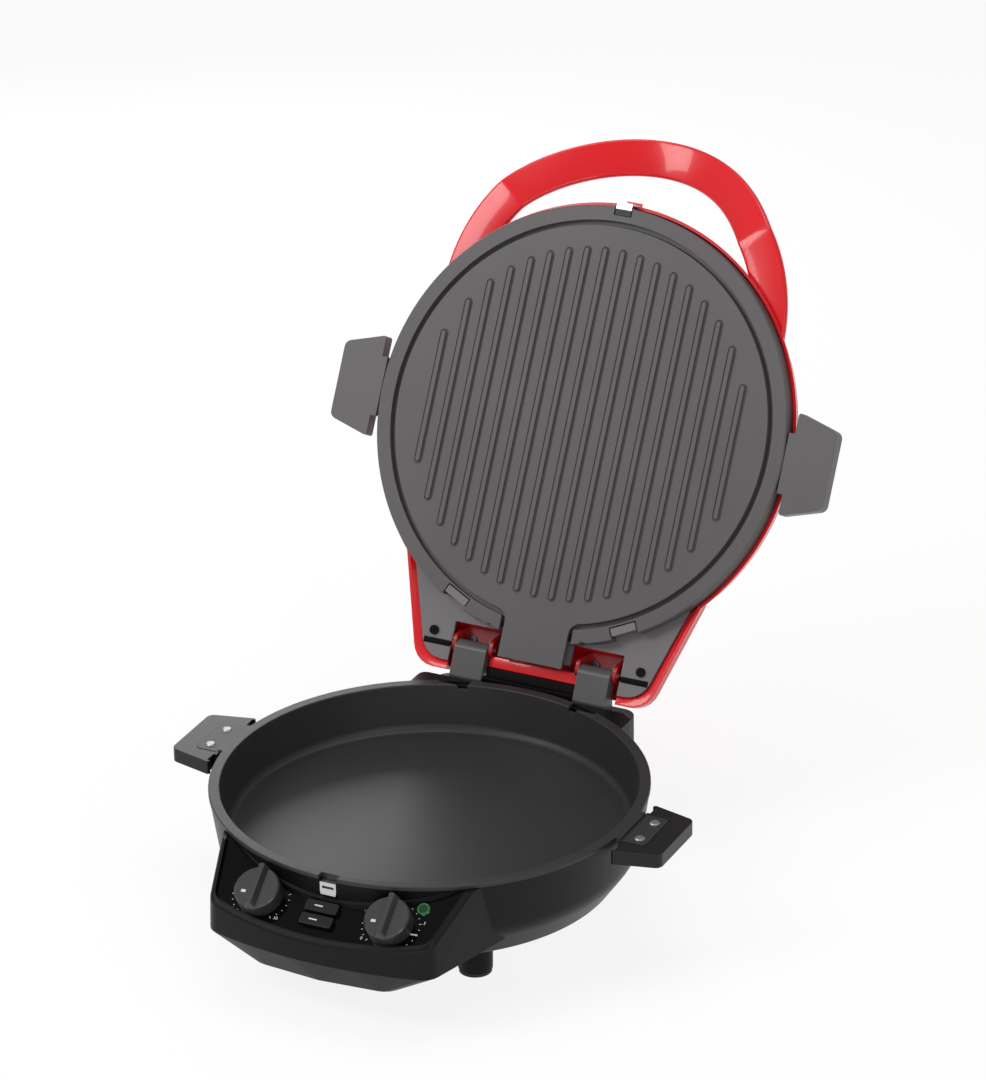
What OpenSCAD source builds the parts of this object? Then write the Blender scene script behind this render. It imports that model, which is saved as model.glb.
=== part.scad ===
// Electric pizza maker with a hinged lid, a deep lower pan and a ribbed upper grill plate.
// Millimetres. The table is z = 0 and +Z is up. The controls face -Y and the lid hinge lies along X.
// Pieces of the lid are drawn shut, over the pan, and are then turned open about the hinge.

/* [Overall] */
// Height of the pan rim above the table
rim_h = 105; // [100:1:112]
// Height of the feet under the housing floor
foot_h = 29; // [24:1:32]
// Outer radius of the rim of the lower pan
pan_rim_r = 165; // [158:1:168]
// Angle of the open lid from shut, in degrees
lid_open = 119.5; // [100:0.5:121]

/* [Lower pan] */
// Width of the flat rim ring
pan_rim_w = 8.5; // [7:0.5:10]
// Thickness of the rim ring
pan_rim_t = 3; // [2.5:0.25:3.5]
// Inside depth of the pan
pan_depth = 37; // [30:1:40]
// Wall and floor thickness of the pan
pan_t = 2.5; // [2:0.25:3.5]
// How far the pan wall leans in from rim to floor
pan_lean = 5; // [3:0.5:8]

/* [Housing] */
// Wall thickness of the moulded housing
wall = 2.5; // [2:0.25:3]
// How far the bend in the side of the bowl lies inside the rim
waist_in = 7; // [5:0.5:13]
// Depth of that bend below the rim
waist_drop = 47; // [42:1:50]
// How far the foot of the skirt lies inside the rim
skirt_in = 24; // [19:1:29]
// How far the edge of the flat floor lies inside the rim
floor_in = 34; // [31:1:37]
// Half width of the control box and of the rear box
box_half = 91; // [88:0.5:93]
// Reach of the control box in front of the rim
box_reach = 29; // [25:1:33]
// Angle at which the sides of the control box spread towards the bowl
box_flare = 15; // [8:1:18]
// Radius of the curved front of the control box
front_arc_r = 340; // [300:10:420]
// Corner radius of the control box
box_corner_r = 14; // [8:1:18]
// Depth of the crease of the boxes below the rim
crease_drop = 56; // [53:1:59]
// Roundness of the crest round the panel
crest_r = 5; // [3:0.5:6]

/* [Control panel] */
// Tilt of the panel from level, in degrees
panel_tilt = 33; // [30:1:36]
// Distance of the panel centre in front of the rim
panel_reach = 3.4; // [2:0.2:5]
// Depth of the panel centre below the rim
panel_drop = 25.8; // [25:0.2:27]
// Thickness of the glossy panel
panel_t = 2.5; // [2:0.25:3]
// Depth of the panel face below the crest of the housing
panel_sink = 3.3; // [2.5:0.1:4]
// Width of the crest round the panel
panel_border = 4; // [3.5:0.25:6]
// Distance of each knob from the middle
knob_x = 53; // [50:1:56]
// Radius of the face of a knob
knob_r = 17.3; // [15:0.1:18]
// Height of a knob above the panel
knob_h = 13; // [11:0.5:15]
// Height of the pointer ridge above the face of a knob
pointer_h = 4.5; // [3:0.5:5]
// Width of the foot of the pointer ridge
ridge_w = 9.6; // [8:0.2:11]
// Radius of the knob shafts
shaft_r = 3; // [2.5:0.1:4]
// Width of a push button
button_w = 26; // [22:1:28]
// Height of a push button along the panel
button_l = 9; // [7.5:0.25:9.5]
// Height of a push button above the panel
button_h = 4; // [3.5:0.25:5]
// Travel of a push button
button_travel = 2.5; // [1.5:0.25:2.75]
// Radius of the indicator lens
lens_r = 5.3; // [4:0.1:6]

/* [Hinge] */
// Distance of the hinge pins behind the rim
hinge_reach = 18.6; // [17:0.2:21]
// Height of the hinge pins above the rim
hinge_rise = 16.1; // [15.5:0.1:17]
// Radius of the hinge pins
pin_r = 2.5; // [2:0.1:3]
// Inner edge of each hinge arm from the middle
arm_in = 39; // [37:0.5:41]
// Width of each hinge arm
arm_w = 27; // [24:0.5:28]

/* [Lid] */
// How far the lid shell reaches past the pan rim
shell_over = 8.5; // [7.5:0.5:11]
// Rise of the lid dome above its edge
dome_h = 44; // [40:1:48]
// Wall thickness of the lid shell
shell_t = 2.4; // [2:0.2:2.6]
// Height of the lid edge above the pan rim when shut
shell_z = 14; // [13.5:0.25:15]
// Thickness of the grey lid liner
liner_t = 2.5; // [2:0.25:3]
// Half width of the lid tail at its end
tail_half = 105.5; // [102:0.5:108]
// Reach of the lid tail behind the hinge pins
tail_reach = 21.4; // [20.4:0.2:22.4]
// Width of the red border between the liner and the edge of the tail
tail_border = 7; // [5:0.5:8]
// Height of the lid tail above the lid edge
tail_h = 20; // [18:0.5:22]

/* [Loop handle] */
// How far the feet of the loop lie inside the side of the lid
loop_in = 29.5; // [26.5:1:33.5]
// Reach of the loop in front of the lid shell
loop_reach = 58; // [52.5:0.5:62.5]
// Distance of the feet of the loop in front of the pan centre
loop_feet = 90; // [84:1:94]
// Width of the band of the loop
loop_w = 29; // [26:1:31]
// Thickness of the band of the loop
loop_t = 6; // [5:0.5:7]
// Height of the feet of the loop above the pan rim when shut
loop_low = 22; // [20:1:26]
// Rise of the loop from its feet to its front
loop_rise = 43; // [36:1:48]

/* [Grill plate] */
// How far the grill plate reaches past the pan rim
plate_over = 5; // [3:0.5:5.5]
// Gap between the two rims when shut
plate_gap = 3; // [2:0.25:3.5]
// Width of the flat rim of the grill plate
plate_rim_w = 11.5; // [10:0.5:14]
// Depth of the fat groove round the grill surface
groove_h = 5; // [4:0.25:5.5]
// Width of the fat groove
groove_w = 4.2; // [3:0.1:5]
// Thickness of the grill plate
plate_t = 3; // [2.5:0.25:3.25]
// Number of ribs on the grill plate
rib_count = 18; // [10:2:18]
// Distance from rib to rib
rib_pitch = 14.9; // [13:0.1:15]
// Width of a rib
rib_w = 4.6; // [3.5:0.1:6]
// Height of a rib
rib_h = 2.2; // [1.5:0.1:3]
// Distance from the fat groove to the ends of the ribs
rib_margin = 17.3; // [8.3:0.1:22.3]
// Width of the drain spout
spout_w = 54; // [48:1:56]
// Reach of the drain spout behind the edge of the plate
spout_reach = 17; // [14:0.5:18]

/* [Grips] */
// Reach of the grips of the grill plate past the pan rim
grip_out = 43; // [39:1:49]
// Reach of the grips of the pan past its rim
pan_grip_out = 38; // [36:1:44]
// Half length of a grip at its root
grip_root = 39; // [36:1:42]
// Half length of a grip at its outer edge
grip_tip = 30; // [26:1:34]
// Thickness of a grip of the grill plate
grip_t = 12; // [10:0.5:13]
// Thickness of a grip of the pan
pan_grip_t = 11; // [9:0.5:12]
// Half width of the metal tab in a grip
tab_half = 22; // [18:1:24]

/* [Feet] */
// Radius of a foot
foot_r = 13.3; // [11:0.1:13.5]
// Distance of the feet from the middle
foot_x = 74; // [70:1:75]
// Distance of the front feet in front of the pan centre
foot_front = 75.8; // [70:0.2:78]
// How far the rear feet lie inside the rim
foot_rear_in = 13; // [9:1:19]

/* [Heating elements] */
// Radius of the tube of a heating element
tube_r = 3.25; // [3:0.05:3.5]
// Radius of the outer turn of a heating element
turn_out = 118; // [110:1:122]
// Radius of the inner turn of a heating element
turn_in = 76; // [68:1:84]

/* [Hidden] */
$fn = 64;

// Clearances
seat = 0.3;
run = 0.05;
slide = 0.4;
over = 1;

// Places that follow the rim of the pan
waist_r = pan_rim_r - waist_in;
skirt_r = pan_rim_r - skirt_in;
floor_r = pan_rim_r - floor_in;
box_front = pan_rim_r + box_reach;
panel_y = pan_rim_r + panel_reach;
hinge_y = pan_rim_r + hinge_reach;
shell_r = pan_rim_r + shell_over;
plate_r = pan_rim_r + plate_over;
tail_back = hinge_y + tail_reach;
loop_half = shell_r - loop_in;
loop_front = shell_r + loop_reach;
spout_back = plate_r + spout_reach;
foot_rear = pan_rim_r - foot_rear_in;
grip_reach = pan_rim_r + grip_out;

// Levels of the base
rim_z = rim_h;
house_r = pan_rim_r - 0.5;
house_top = rim_z - pan_rim_t - seat;
waist_z = rim_z - waist_drop;
crease_z = rim_z - crease_drop;
skirt_z = foot_h + 5;
pan_in_r = pan_rim_r - pan_rim_w;
pan_floor_r = pan_in_r - pan_lean;
pan_floor_z = rim_z - pan_depth;
pan_under_z = pan_floor_z - pan_t;

// Bottom cover and its screws
cover_r = floor_r - 2.5;
cover_in = cover_r - 11;
cover_t = 1.2;
screw_r = 1.6;
foot_screw_r = 2;

// Lower heat chamber
shelf_t = 2;
low_tube_z = pan_under_z - tube_r - 0.8;
shelf_z = low_tube_z - 8;
shelf_in = waist_r - 13;
dish_r = waist_r - 18;
dish_drop = 8;
dish_t = 1;
dish_z = shelf_z - dish_drop;

// Rear box
rear_y = pan_rim_r;
rear_top = rim_z - 2;
ledge_y = rear_y + 25;
ledge_half = box_half - 7;
ledge_z = rim_z - 14;

// Hinge
hinge_z = rim_z + hinge_rise;
arm_front = rear_y;
arm_back = rear_y + 15;
arm_head_r = 6;
arm_mid = arm_in + arm_w / 2;
bush_r = pin_r + 1.5;
bracket_t = 3;
bracket_gap = 0.5;
pin_len = arm_w + 2 * (bracket_t + bracket_gap) + 3;

// Lid levels when shut
edge_z = rim_z + shell_z;
liner_top = edge_z + liner_t;
plate_z = rim_z + plate_gap;
plate_back_z = edge_z - seat;
dish_up_r = plate_r - 24;
groove_in = plate_r - plate_rim_w - groove_w;
rib_field_r = groove_in - rib_margin;
high_tube_z = plate_z + groove_h + plate_t + tube_r + 2.5;
roof_z = high_tube_z + tube_r + 8;
tail_top = edge_z + tail_h;
tail_root_x = 0.7435 * shell_r;
tail_root_y = 0.6225 * shell_r;
liner_lip = 4;

// Feet
pad_t = 2.5;

// Latches
latch_half = 6.5;
latch_t = 1.3;
latch_pin_r = 0.6;
latch_pin_y = -house_r + 8.3;
latch_pin_z = rim_z - 32;

// Handle screws
handle_screw_l = 15;

// Rear hooks of the liner
hook_w = 22.5;
hook_l = 8;
post_y = -shell_r + 9.3;

// Grip levels
pan_grip_top = rim_z - pan_rim_t;
pan_tab_t = 2.5;
plate_grip_low = plate_z + 1;
grip_in = pan_rim_r + 1.6;
pan_grip_reach = pan_rim_r + pan_grip_out;
rivet_y = 13;
plate_grip_in = shell_r + 1.5;
rivet_r = 2.6;

// Frame: the middle of the open object, on the table
loop_top = rim_z + loop_low + loop_rise + loop_t / 2;
lid_reach = hinge_y - (loop_front + hinge_y) * cos(lid_open) + (loop_top - hinge_z) * sin(lid_open);
frame_y = (box_front - lid_reach) / 2;

// Colours
dark_plastic = "#2b2a2c";
panel_black = "#0b0b0d";
cast_grey = "#57565a";
plate_grey = "#6e6a6b";
red_gloss = "#d81e24";
steel = "#b9bcc0";
element_steel = "#77736c";
rubber = "#1c1c1e";

function unit(v) = v / norm(v);
function wrap(a) = a > 180 ? a - 360 : a < -180 ? a + 360 : a;

// Points of an arc that rounds the corner b between a and c
function corner(a, b, c, r, n) =
    let (u = unit(a - b), v = unit(c - b), half = acos(u * v) / 2)
    let (m = b + unit(u + v) * r / sin(half))
    let (p = b + u * r / tan(half) - m, q = b + v * r / tan(half) - m)
    let (start = atan2(p[1], p[0]), sweep = wrap(atan2(q[1], q[0]) - start))
    [for (i = [0:n]) m + r * [cos(start + sweep * i / n), sin(start + sweep * i / n)]];

// Outline with rounded corners: each point is x, y and the radius of its corner
function soft(pts, n = 5) =
    [for (i = [0:len(pts) - 1])
        let (a = pts[(i + len(pts) - 1) % len(pts)], b = pts[i], c = pts[(i + 1) % len(pts)])
        each b[2] == 0 ? [[b[0], b[1]]]
            : corner([a[0], a[1]], [b[0], b[1]], [c[0], c[1]], b[2], n)];

module place() {
    translate([0, frame_y, 0])
        children();
}

// Turns a piece that is drawn shut to the open lid
module opened() {
    place()
        translate([0, hinge_y, hinge_z])
            rotate([-lid_open, 0, 0])
                translate([0, -hinge_y, -hinge_z])
                    children();
}

module both_sides() {
    children();
    mirror([1, 0, 0])
        children();
}

// Frame of the sloped panel: local z stands out of its face
module on_panel() {
    translate([0, -panel_y, rim_z - panel_drop])
        rotate([panel_tilt, 0, 0])
            children();
}

module slab(w, l, h) {
    translate([-w / 2, -l / 2, 0])
        cube([w, l, h]);
}

module bar(w, l, h, r) {
    linear_extrude(h)
        polygon(soft([[w / 2, l / 2, r], [-w / 2, l / 2, r], [-w / 2, -l / 2, r], [w / 2, -l / 2, r]]));
}

// Outer form of the bowl, made smaller by d
module bowl(d, top) {
    rotate_extrude($fn = 128)
        polygon(soft([[0, foot_h + d, 0], [floor_r - d, foot_h + d, 0], [skirt_r - d, skirt_z + d / 2, 4],
            [waist_r - d, waist_z, 30], [house_r - d, house_top, 0], [house_r - d, top, 0], [0, top, 0]]));
}

// Plan of the control box, made smaller by d
function front_plan(d) =
    let (r = front_arc_r - d, cy = front_arc_r - box_front, hw = box_half - d, n = 6)
    let (span = asin((hw - box_corner_r - 6) / r), corner_y = cy - sqrt(r * r - hw * hw))
    let (back_y = -0.6 * pan_rim_r, back = hw + (back_y - corner_y) * tan(box_flare))
    soft(concat([[back, back_y, 0], [hw, corner_y, max(1, box_corner_r - d)]],
        [for (i = [n:-1:-n]) [r * sin(span * i / n), cy - r * cos(span * i / n), 0]],
        [[-hw, corner_y, max(1, box_corner_r - d)], [-back, back_y, 0]]));

// Everything under the panel plane that is sunk by d
module under_panel(d) {
    on_panel()
        translate([-200, -200, -300 - d])
            cube([400, 400, 300]);
}

// Foot of the control box, where its sides lean in to the floor
module front_foot(d) {
    hull() {
        translate([0, 0, crease_z])
            linear_extrude(0.5)
                polygon(front_plan(d));
        translate([0, 0, foot_h])
            linear_extrude(0.5)
                polygon(soft([[box_half - 25 - d, -100, 0], [box_half - 31 - d, -box_front + 16 + d, 16],
                    [0, -box_front + 11 + d, 0], [-box_half + 31 + d, -box_front + 16 + d, 16],
                    [-box_half + 25 + d, -100, 0]]));
    }
}

// Control box with its rounded crest
module front_crest() {
    hull() {
        translate([0, 0, crease_z])
            linear_extrude(0.5)
                polygon(front_plan(0));
        for (p = front_plan(crest_r))
            translate([p[0], p[1], rim_z - panel_drop + (p[1] + panel_y) * tan(panel_tilt)
                    + (panel_sink - crest_r) / cos(panel_tilt)])
                sphere(crest_r, $fn = 20);
    }
}

function rear_plan(d) =
    soft([[box_half - d, 90, 0], [box_half - d, rear_y - d, 6], [-box_half + d, rear_y - d, 6],
        [-box_half + d, 90, 0]]);

function ledge_plan(d) =
    soft([[ledge_half - d, 90, 0], [ledge_half - d, ledge_y - d, 12], [-ledge_half + d, ledge_y - d, 12],
        [-ledge_half + d, 90, 0]]);

module rear_foot(d) {
    hull() {
        translate([0, 0, crease_z])
            linear_extrude(0.5)
                polygon(ledge_plan(d));
        translate([0, 0, crease_z])
            linear_extrude(0.5)
                polygon(rear_plan(d));
        translate([0, 0, foot_h])
            linear_extrude(0.5)
                polygon(soft([[box_half - 3 - d, 100, 0], [box_half - 3 - d, ledge_y - 10 - d, 14],
                    [-box_half + 3 + d, ledge_y - 10 - d, 14], [-box_half + 3 + d, 100, 0]]));
    }
}

module rear_top() {
    hull() {
        translate([0, 0, crease_z])
            linear_extrude(rear_top - 3 - crease_z)
                polygon(rear_plan(0));
        translate([0, 0, crease_z])
            linear_extrude(rear_top - crease_z)
                polygon(rear_plan(3));
    }
}

module base_housing() {
    color(dark_plastic)
        place()
            difference() {
                union() {
                    bowl(0, house_top);
                    intersection() {
                        union() {
                            front_crest();
                            front_foot(0);
                        }
                        translate([-200, -300, 0])
                            cube([400, 300, house_top]);
                    }
                    rear_top();
                    rear_foot(0);
                    translate([0, 0, crease_z])
                        linear_extrude(ledge_z - crease_z)
                            polygon(ledge_plan(0));
                }
                chamber();
                translate([0, 0, house_top])
                    cylinder(r = pan_rim_r + 0.5, h = 30, $fn = 128);
                difference() {
                    box_hollows();
                    bowl(0, house_top + 60);
                }
                translate([-latch_half - 3.5, latch_pin_y, latch_pin_z])
                    rotate([0, 90, 0])
                        cylinder(r = latch_pin_r + run, h = 2 * latch_half + 7);
                knob_relief();
                panel_recess();
                panel_holes(slide, wall + panel_t + over);
                translate([0, 0, foot_h - over])
                    cylinder(r = cover_r + seat, h = cover_t + over, $fn = 128);
                cylinder(r = cover_in, h = foot_h + 3 * wall, $fn = 128);
                cover_screw_spots(foot_h)
                    cylinder(r = screw_r - 0.1, h = 3 * wall);
                latch_slot();
                rear_foot_holes();
                arm_holes(ledge_z - wall - over, wall + 2 * over);
                gland_hole();
            }
}

// Round heat chamber with the shelf that carries the reflector and bosses for the cover screws
module chamber() {
    difference() {
        intersection() {
            bowl(wall, house_top + over);
            cylinder(r = house_r, h = house_top + over, $fn = 128);
        }
        translate([0, 0, shelf_z - shelf_t])
            difference() {
                cylinder(r = house_r, h = shelf_t, $fn = 128);
                translate([0, 0, -over])
                    cylinder(r = shelf_in, h = shelf_t + 2 * over, $fn = 128);
            }
        cover_screw_spots(foot_h)
            cylinder(r = 4.5, h = 3 * wall + 1);
        latch_ears();
    }
}

// Room in the bowl wall for the knobs to turn
module knob_relief() {
    on_panel()
        for (x = [-knob_x, knob_x])
            translate([x, 0, 0])
                cylinder(r = knob_r + 0.7, h = 16);
}

module cover_screw_spots(z) {
    for (a = [15, 75, 135, 195, 255, 315])
        rotate(a)
            translate([cover_r - 5.5, 0, z])
                children();
}

module box_hollows() {
    intersection() {
        union() {
            translate([0, 0, crease_z])
                linear_extrude(100)
                    polygon(front_plan(wall));
            front_foot(wall);
        }
        under_panel(panel_t + wall);
        translate([-200, -300, foot_h + wall])
            cube([400, 300, 200]);
    }
    translate([0, 0, crease_z])
        linear_extrude(rear_top - wall - crease_z)
            polygon(rear_plan(wall));
    translate([0, 0, crease_z])
        linear_extrude(ledge_z - wall - crease_z)
            polygon(ledge_plan(wall));
    intersection() {
        rear_foot(wall);
        translate([-200, 0, foot_h + wall])
            cube([400, 300, 200]);
    }
}

// Sunk field that the panel lies in
module panel_recess() {
    difference() {
        linear_extrude(rim_z)
            polygon(front_plan(panel_border));
        under_panel(panel_t);
        cylinder(r = house_r, h = rim_z + over, $fn = 128);
    }
}

// Holes for the shafts, buttons and lens, wider by gap and deeper than the face by deep
module panel_holes(gap, deep) {
    on_panel()
        translate([0, 0, -deep]) {
            for (x = [-knob_x, knob_x])
                translate([x, 0, 0])
                    cylinder(r = shaft_r + 2 + gap, h = deep + over);
            for (y = button_rows)
                translate([button_x, y, 0])
                    slab(button_w + 2 * gap, button_l + 2 * gap, deep + over);
            translate([lens_x, lens_y, 0])
                cylinder(r = lens_r + gap, h = deep + over);
        }
}

button_x = -2.5;
button_rows = [0.6, -10.6];
stem_rows = [-2.4, -10.6];
stem_r = 1.5;
lens_x = 72;
lens_y = 18.3;

module foot_spots() {
    for (x = [-foot_x, foot_x]) {
        translate([x, -foot_front, 0])
            children();
        translate([x, foot_rear, 0])
            children();
    }
}

module rear_foot_holes() {
    for (x = [-foot_x, foot_x])
        translate([x, foot_rear, foot_h - over])
            cylinder(r = foot_screw_r + 0.2, h = wall + 2 * over);
}

module arm_holes(z, h) {
    both_sides()
        for (x = [arm_in + 6, arm_in + arm_w - 6])
            translate([x, (arm_front + arm_back) / 2, z])
                cylinder(r = 2.2, h = h);
}

module control_panel() {
    color(panel_black)
        place()
            difference() {
                intersection() {
                    linear_extrude(rim_z)
                        polygon(front_plan(panel_border + seat));
                    under_panel(0);
                    on_panel()
                        translate([-200, -200, -panel_t])
                            cube([400, 400, panel_t + 5]);
                }
                cylinder(r = house_r + seat, h = rim_z + over, $fn = 128);
                translate([0, 0, house_top - seat])
                    cylinder(r = pan_rim_r + 0.5, h = 30, $fn = 128);
                panel_holes(slide / 2, panel_t + over);
                latch_slot();
            }
}

// Sheet steel cover let into the floor, with vents and holes for its screws and the front feet
module bottom_cover() {
    color(steel)
        place()
            difference() {
                translate([0, 0, foot_h])
                    cylinder(r = cover_r, h = cover_t, $fn = 128);
                for (a = [0:30:330])
                    rotate(a)
                        translate([0, 40, foot_h - over])
                            bar(5, 30, cover_t + 2 * over, 2.4);
                for (a = [15:30:345])
                    rotate(a)
                        translate([0, 78, foot_h - over])
                            bar(5, 22, cover_t + 2 * over, 2.4);
                cover_screw_spots(foot_h - over)
                    cylinder(r = screw_r + 0.2, h = cover_t + 2 * over);
                for (x = [-foot_x, foot_x])
                    translate([x, -foot_front, foot_h - over])
                        cylinder(r = foot_screw_r + 0.2, h = cover_t + 2 * over);
            }
}

module lower_reflector() {
    color(steel)
        place()
            difference() {
                rotate_extrude($fn = 128)
                    polygon([[0, dish_z], [dish_r - 8, dish_z], [dish_r, shelf_z], [waist_r - wall - 5, shelf_z],
                        [waist_r - wall - 5, shelf_z + dish_t], [dish_r - 1, shelf_z + dish_t],
                        [dish_r - 9, dish_z + dish_t], [0, dish_z + dish_t]]);
                rotate(-90)
                    element_feet(dish_z - over, 3, tube_r + 1);
            }
}

// Two turns of sheathed tube that join at one end and dive at the other
module element(z, drop) {
    gap = 8;
    joint_r = tube_r + 0.25;
    translate([0, 0, z]) {
        for (r = [turn_in, turn_out])
            rotate(gap)
                rotate_extrude(angle = 360 - 2 * gap, $fn = 96)
                    translate([r, 0])
                        circle(tube_r, $fn = 24);
        for (r = [turn_in, turn_out])
            for (a = [gap, -gap])
                rotate(a)
                    translate([r, 0, 0])
                        sphere(joint_r, $fn = 24);
        rotate(gap)
            translate([turn_in, 0, 0])
                rotate([0, 90, 0])
                    cylinder(r = tube_r, h = turn_out - turn_in, $fn = 24);
        for (r = [turn_in, turn_out])
            rotate(-gap)
                translate([r, 0, min(0, drop)])
                    cylinder(r = tube_r, h = abs(drop), $fn = 24);
    }
}

module element_feet(z, h, r) {
    for (t = [turn_in, turn_out])
        rotate(-8)
            translate([t, 0, z])
                cylinder(r = r, h = h);
}

module lower_element() {
    color(element_steel)
        place()
            rotate(-90)
                element(low_tube_z, dish_z - low_tube_z - 8);
}

// Sheet metal saddle under both turns
module element_clip(low, high) {
    for (r = [turn_in, turn_out])
        translate([r, 0, low])
            difference() {
                slab(tube_r * 2 + 4, 8, high - low);
                translate([0, 5, high - low])
                    rotate([90, 0, 0])
                        cylinder(r = tube_r + 0.2, h = 10);
            }
    translate([turn_in, -4, low])
        cube([turn_out - turn_in, 8, 1.2]);
}

module lower_element_clips() {
    color(steel)
        place()
            for (a = [30, 150, 210, 330])
                rotate(a)
                    element_clip(dish_z + dish_t + run, low_tube_z);
}

module thermostat_body() {
    color("#d8d4c8")
        place()
            on_panel()
                translate([knob_x, 0, 0])
                    control_unit(30, 22, 12, 4);
}

module timer_body() {
    color("#c9c9c4")
        place()
            on_panel()
                translate([-knob_x, 0, 0])
                    control_unit(34, 24, 13, 8);
}

// Works of a rotary control: case, mounting neck through the housing and a bore for the shaft
module control_unit(w, l, h, step) {
    back = panel_t + wall;
    difference() {
        union() {
            translate([0, 3.5 - l / 2, -back - h - run])
                bar(w, l, h, 3);
            translate([0, -5 - l / 2, -back - h - step])
                bar(w - 8, l - 8, step + 1, 3);
            translate([0, 0, -back - 2])
                cylinder(r = shaft_r + 2, h = back + 2 - 0.6);
        }
        translate([0, 0, -back - h + 2])
            cylinder(r = shaft_r + run, h = back + h + over);
    }
}

module shaft() {
    back = panel_t + wall;
    translate([0, 0, -back - 8])
        cylinder(r = shaft_r, h = back + 8 + knob_h - 5);
}

module timer_shaft() {
    color(steel)
        place()
            on_panel()
                translate([-knob_x, 0, 0])
                    shaft();
}

module thermostat_shaft() {
    color(steel)
        place()
            on_panel()
                translate([knob_x, 0, 0])
                    shaft();
}

// Round hollow knob with a boss for the shaft and a ridge with sloped sides across its face
module knob() {
    face = knob_h - 3;
    rotate(4)
        difference() {
            union() {
                rotate_extrude()
                    polygon([[0, 0.6], [shaft_r + 2.4, 0.6], [shaft_r + 2.4, face], [knob_r - 1.8, face],
                        [knob_r - 1.8, 0.6], [knob_r, 0.6], [knob_r, knob_h - 1], [knob_r - 1, knob_h], [0, knob_h]]);
                hull() {
                    translate([0, 0.6, knob_h - 2.4])
                        bar(ridge_w, 2 * knob_r + 1, 1, 2);
                    translate([0, 1.2, knob_h + pointer_h - 1])
                        bar(ridge_w - 5.5, 2 * knob_r - 1, 1, 1.2);
                }
            }
            translate([0, 0, -over])
                cylinder(r = shaft_r + run, h = knob_h - 5 + over + 0.3);
        }
}

module timer_knob() {
    color(dark_plastic)
        place()
            on_panel()
                translate([-knob_x, 0, 0])
                    knob();
}

module thermostat_knob() {
    color(dark_plastic)
        place()
            on_panel()
                translate([knob_x, 0, 0])
                    knob();
}

module push_button(y, stem_y) {
    stem = button_travel + 3;
    foot = button_travel - 0.5;
    place()
        on_panel()
            translate([button_x, 0, 0]) {
                translate([0, y, foot - panel_t - wall])
                    bar(button_w, button_l, panel_t + wall + button_h - foot, 2);
                translate([0, stem_y, -panel_t - wall - stem])
                    cylinder(r = stem_r, h = stem + foot + 1);
            }
}

module upper_heat_button() {
    color(panel_black)
        push_button(button_rows[0], stem_rows[0]);
}

module lower_heat_button() {
    color(panel_black)
        push_button(button_rows[1], stem_rows[1]);
}

// Case with the two push switches, with a bore for the stem of each button
module heat_switches() {
    top = panel_t + wall + button_travel + 0.4;
    color("#1b1b1d")
        place()
            on_panel()
                difference() {
                    translate([button_x - 2, -8.8, -top - 7.6])
                        slab(19, 17, 7.6);
                    for (y = stem_rows)
                        translate([button_x, y, -top - 7])
                            cylinder(r = stem_r + run, h = 20);
                }
}

module indicator_lens() {
    color("#2f8f4a")
        place()
            on_panel()
                translate([lens_x, lens_y, 0]) {
                    translate([0, 0, -panel_t - wall])
                        cylinder(r = lens_r, h = panel_t + wall + 0.5);
                    translate([0, 0, 0.5])
                        cylinder(r1 = lens_r, r2 = lens_r - 1.2, h = 0.9);
                }
}

module indicator_lamp() {
    color("#e9e2c0")
        place()
            on_panel()
                translate([lens_x, lens_y, -panel_t - wall - seat]) {
                    mirror([0, 0, 1])
                        cylinder(r = lens_r - 2.4, h = 3);
                    translate([0, 0, -4.5])
                        cylinder(r = 1.8, h = 2);
                }
}

module terminal_block() {
    color("#e6e0d0")
        place()
            translate([30, 164, foot_h + wall + run])
                difference() {
                    union() {
                        slab(36, 16, 10);
                        for (x = [-12, 0, 12])
                            translate([x, 0, 9])
                                cylinder(r = 4.5, h = 5);
                    }
                    for (x = [-12, 0, 12])
                        translate([x, 0, 6])
                            cylinder(r = 2.2, h = 10);
                }
}

module gland_hole() {
    translate([-40, ledge_y - 20, rim_z - 34])
        rotate([-90, 0, 0])
            cylinder(r = 7.5, h = 40);
}

// Round grommet in the rear wall where the mains lead would enter
module cord_gland() {
    color(rubber)
        place()
            translate([-40, ledge_y, rim_z - 34])
                rotate([-90, 0, 0])
                    difference() {
                        union() {
                            translate([0, 0, -wall - 1.5])
                                cylinder(r = 7.4, h = wall + 2.5);
                            translate([0, 0, 0.05])
                                cylinder(r = 9.5, h = 2);
                            translate([0, 0, -wall - 2.5])
                                cylinder(r = 9, h = 2.4);
                        }
                        translate([0, 0, -10])
                            cylinder(r = 3.8, h = 20);
                    }
}

// Side profile of a hinge arm: a leg on the ledge and a head round the pin
module arm_profile() {
    polygon(soft([[arm_front, ledge_z, 0], [arm_front, rim_z - 2, 3], [arm_front + 10.5, hinge_z + 3, 4],
        [hinge_y + 1, hinge_z + arm_head_r - 0.5, 4], [hinge_y + arm_head_r - 0.5, hinge_z - 3, 4],
        [arm_back, hinge_z - 12, 4], [arm_back, ledge_z, 0]]));
}

module hinge_arm() {
    difference() {
        translate([arm_in, 0, 0])
            rotate([90, 0, 90])
                linear_extrude(arm_w)
                    arm_profile();
        translate([arm_in - over, hinge_y, hinge_z])
            rotate([0, 90, 0])
                cylinder(r = bush_r + run, h = arm_w + 2 * over);
        for (x = [arm_in + 6, arm_in + arm_w - 6])
            translate([x, (arm_front + arm_back) / 2, ledge_z - over])
                cylinder(r = 1.9, h = 13);
    }
}

module hinge_arm_left() {
    color(plate_grey)
        place()
            mirror([1, 0, 0])
                hinge_arm();
}

module hinge_arm_right() {
    color(plate_grey)
        place()
            hinge_arm();
}

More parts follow.
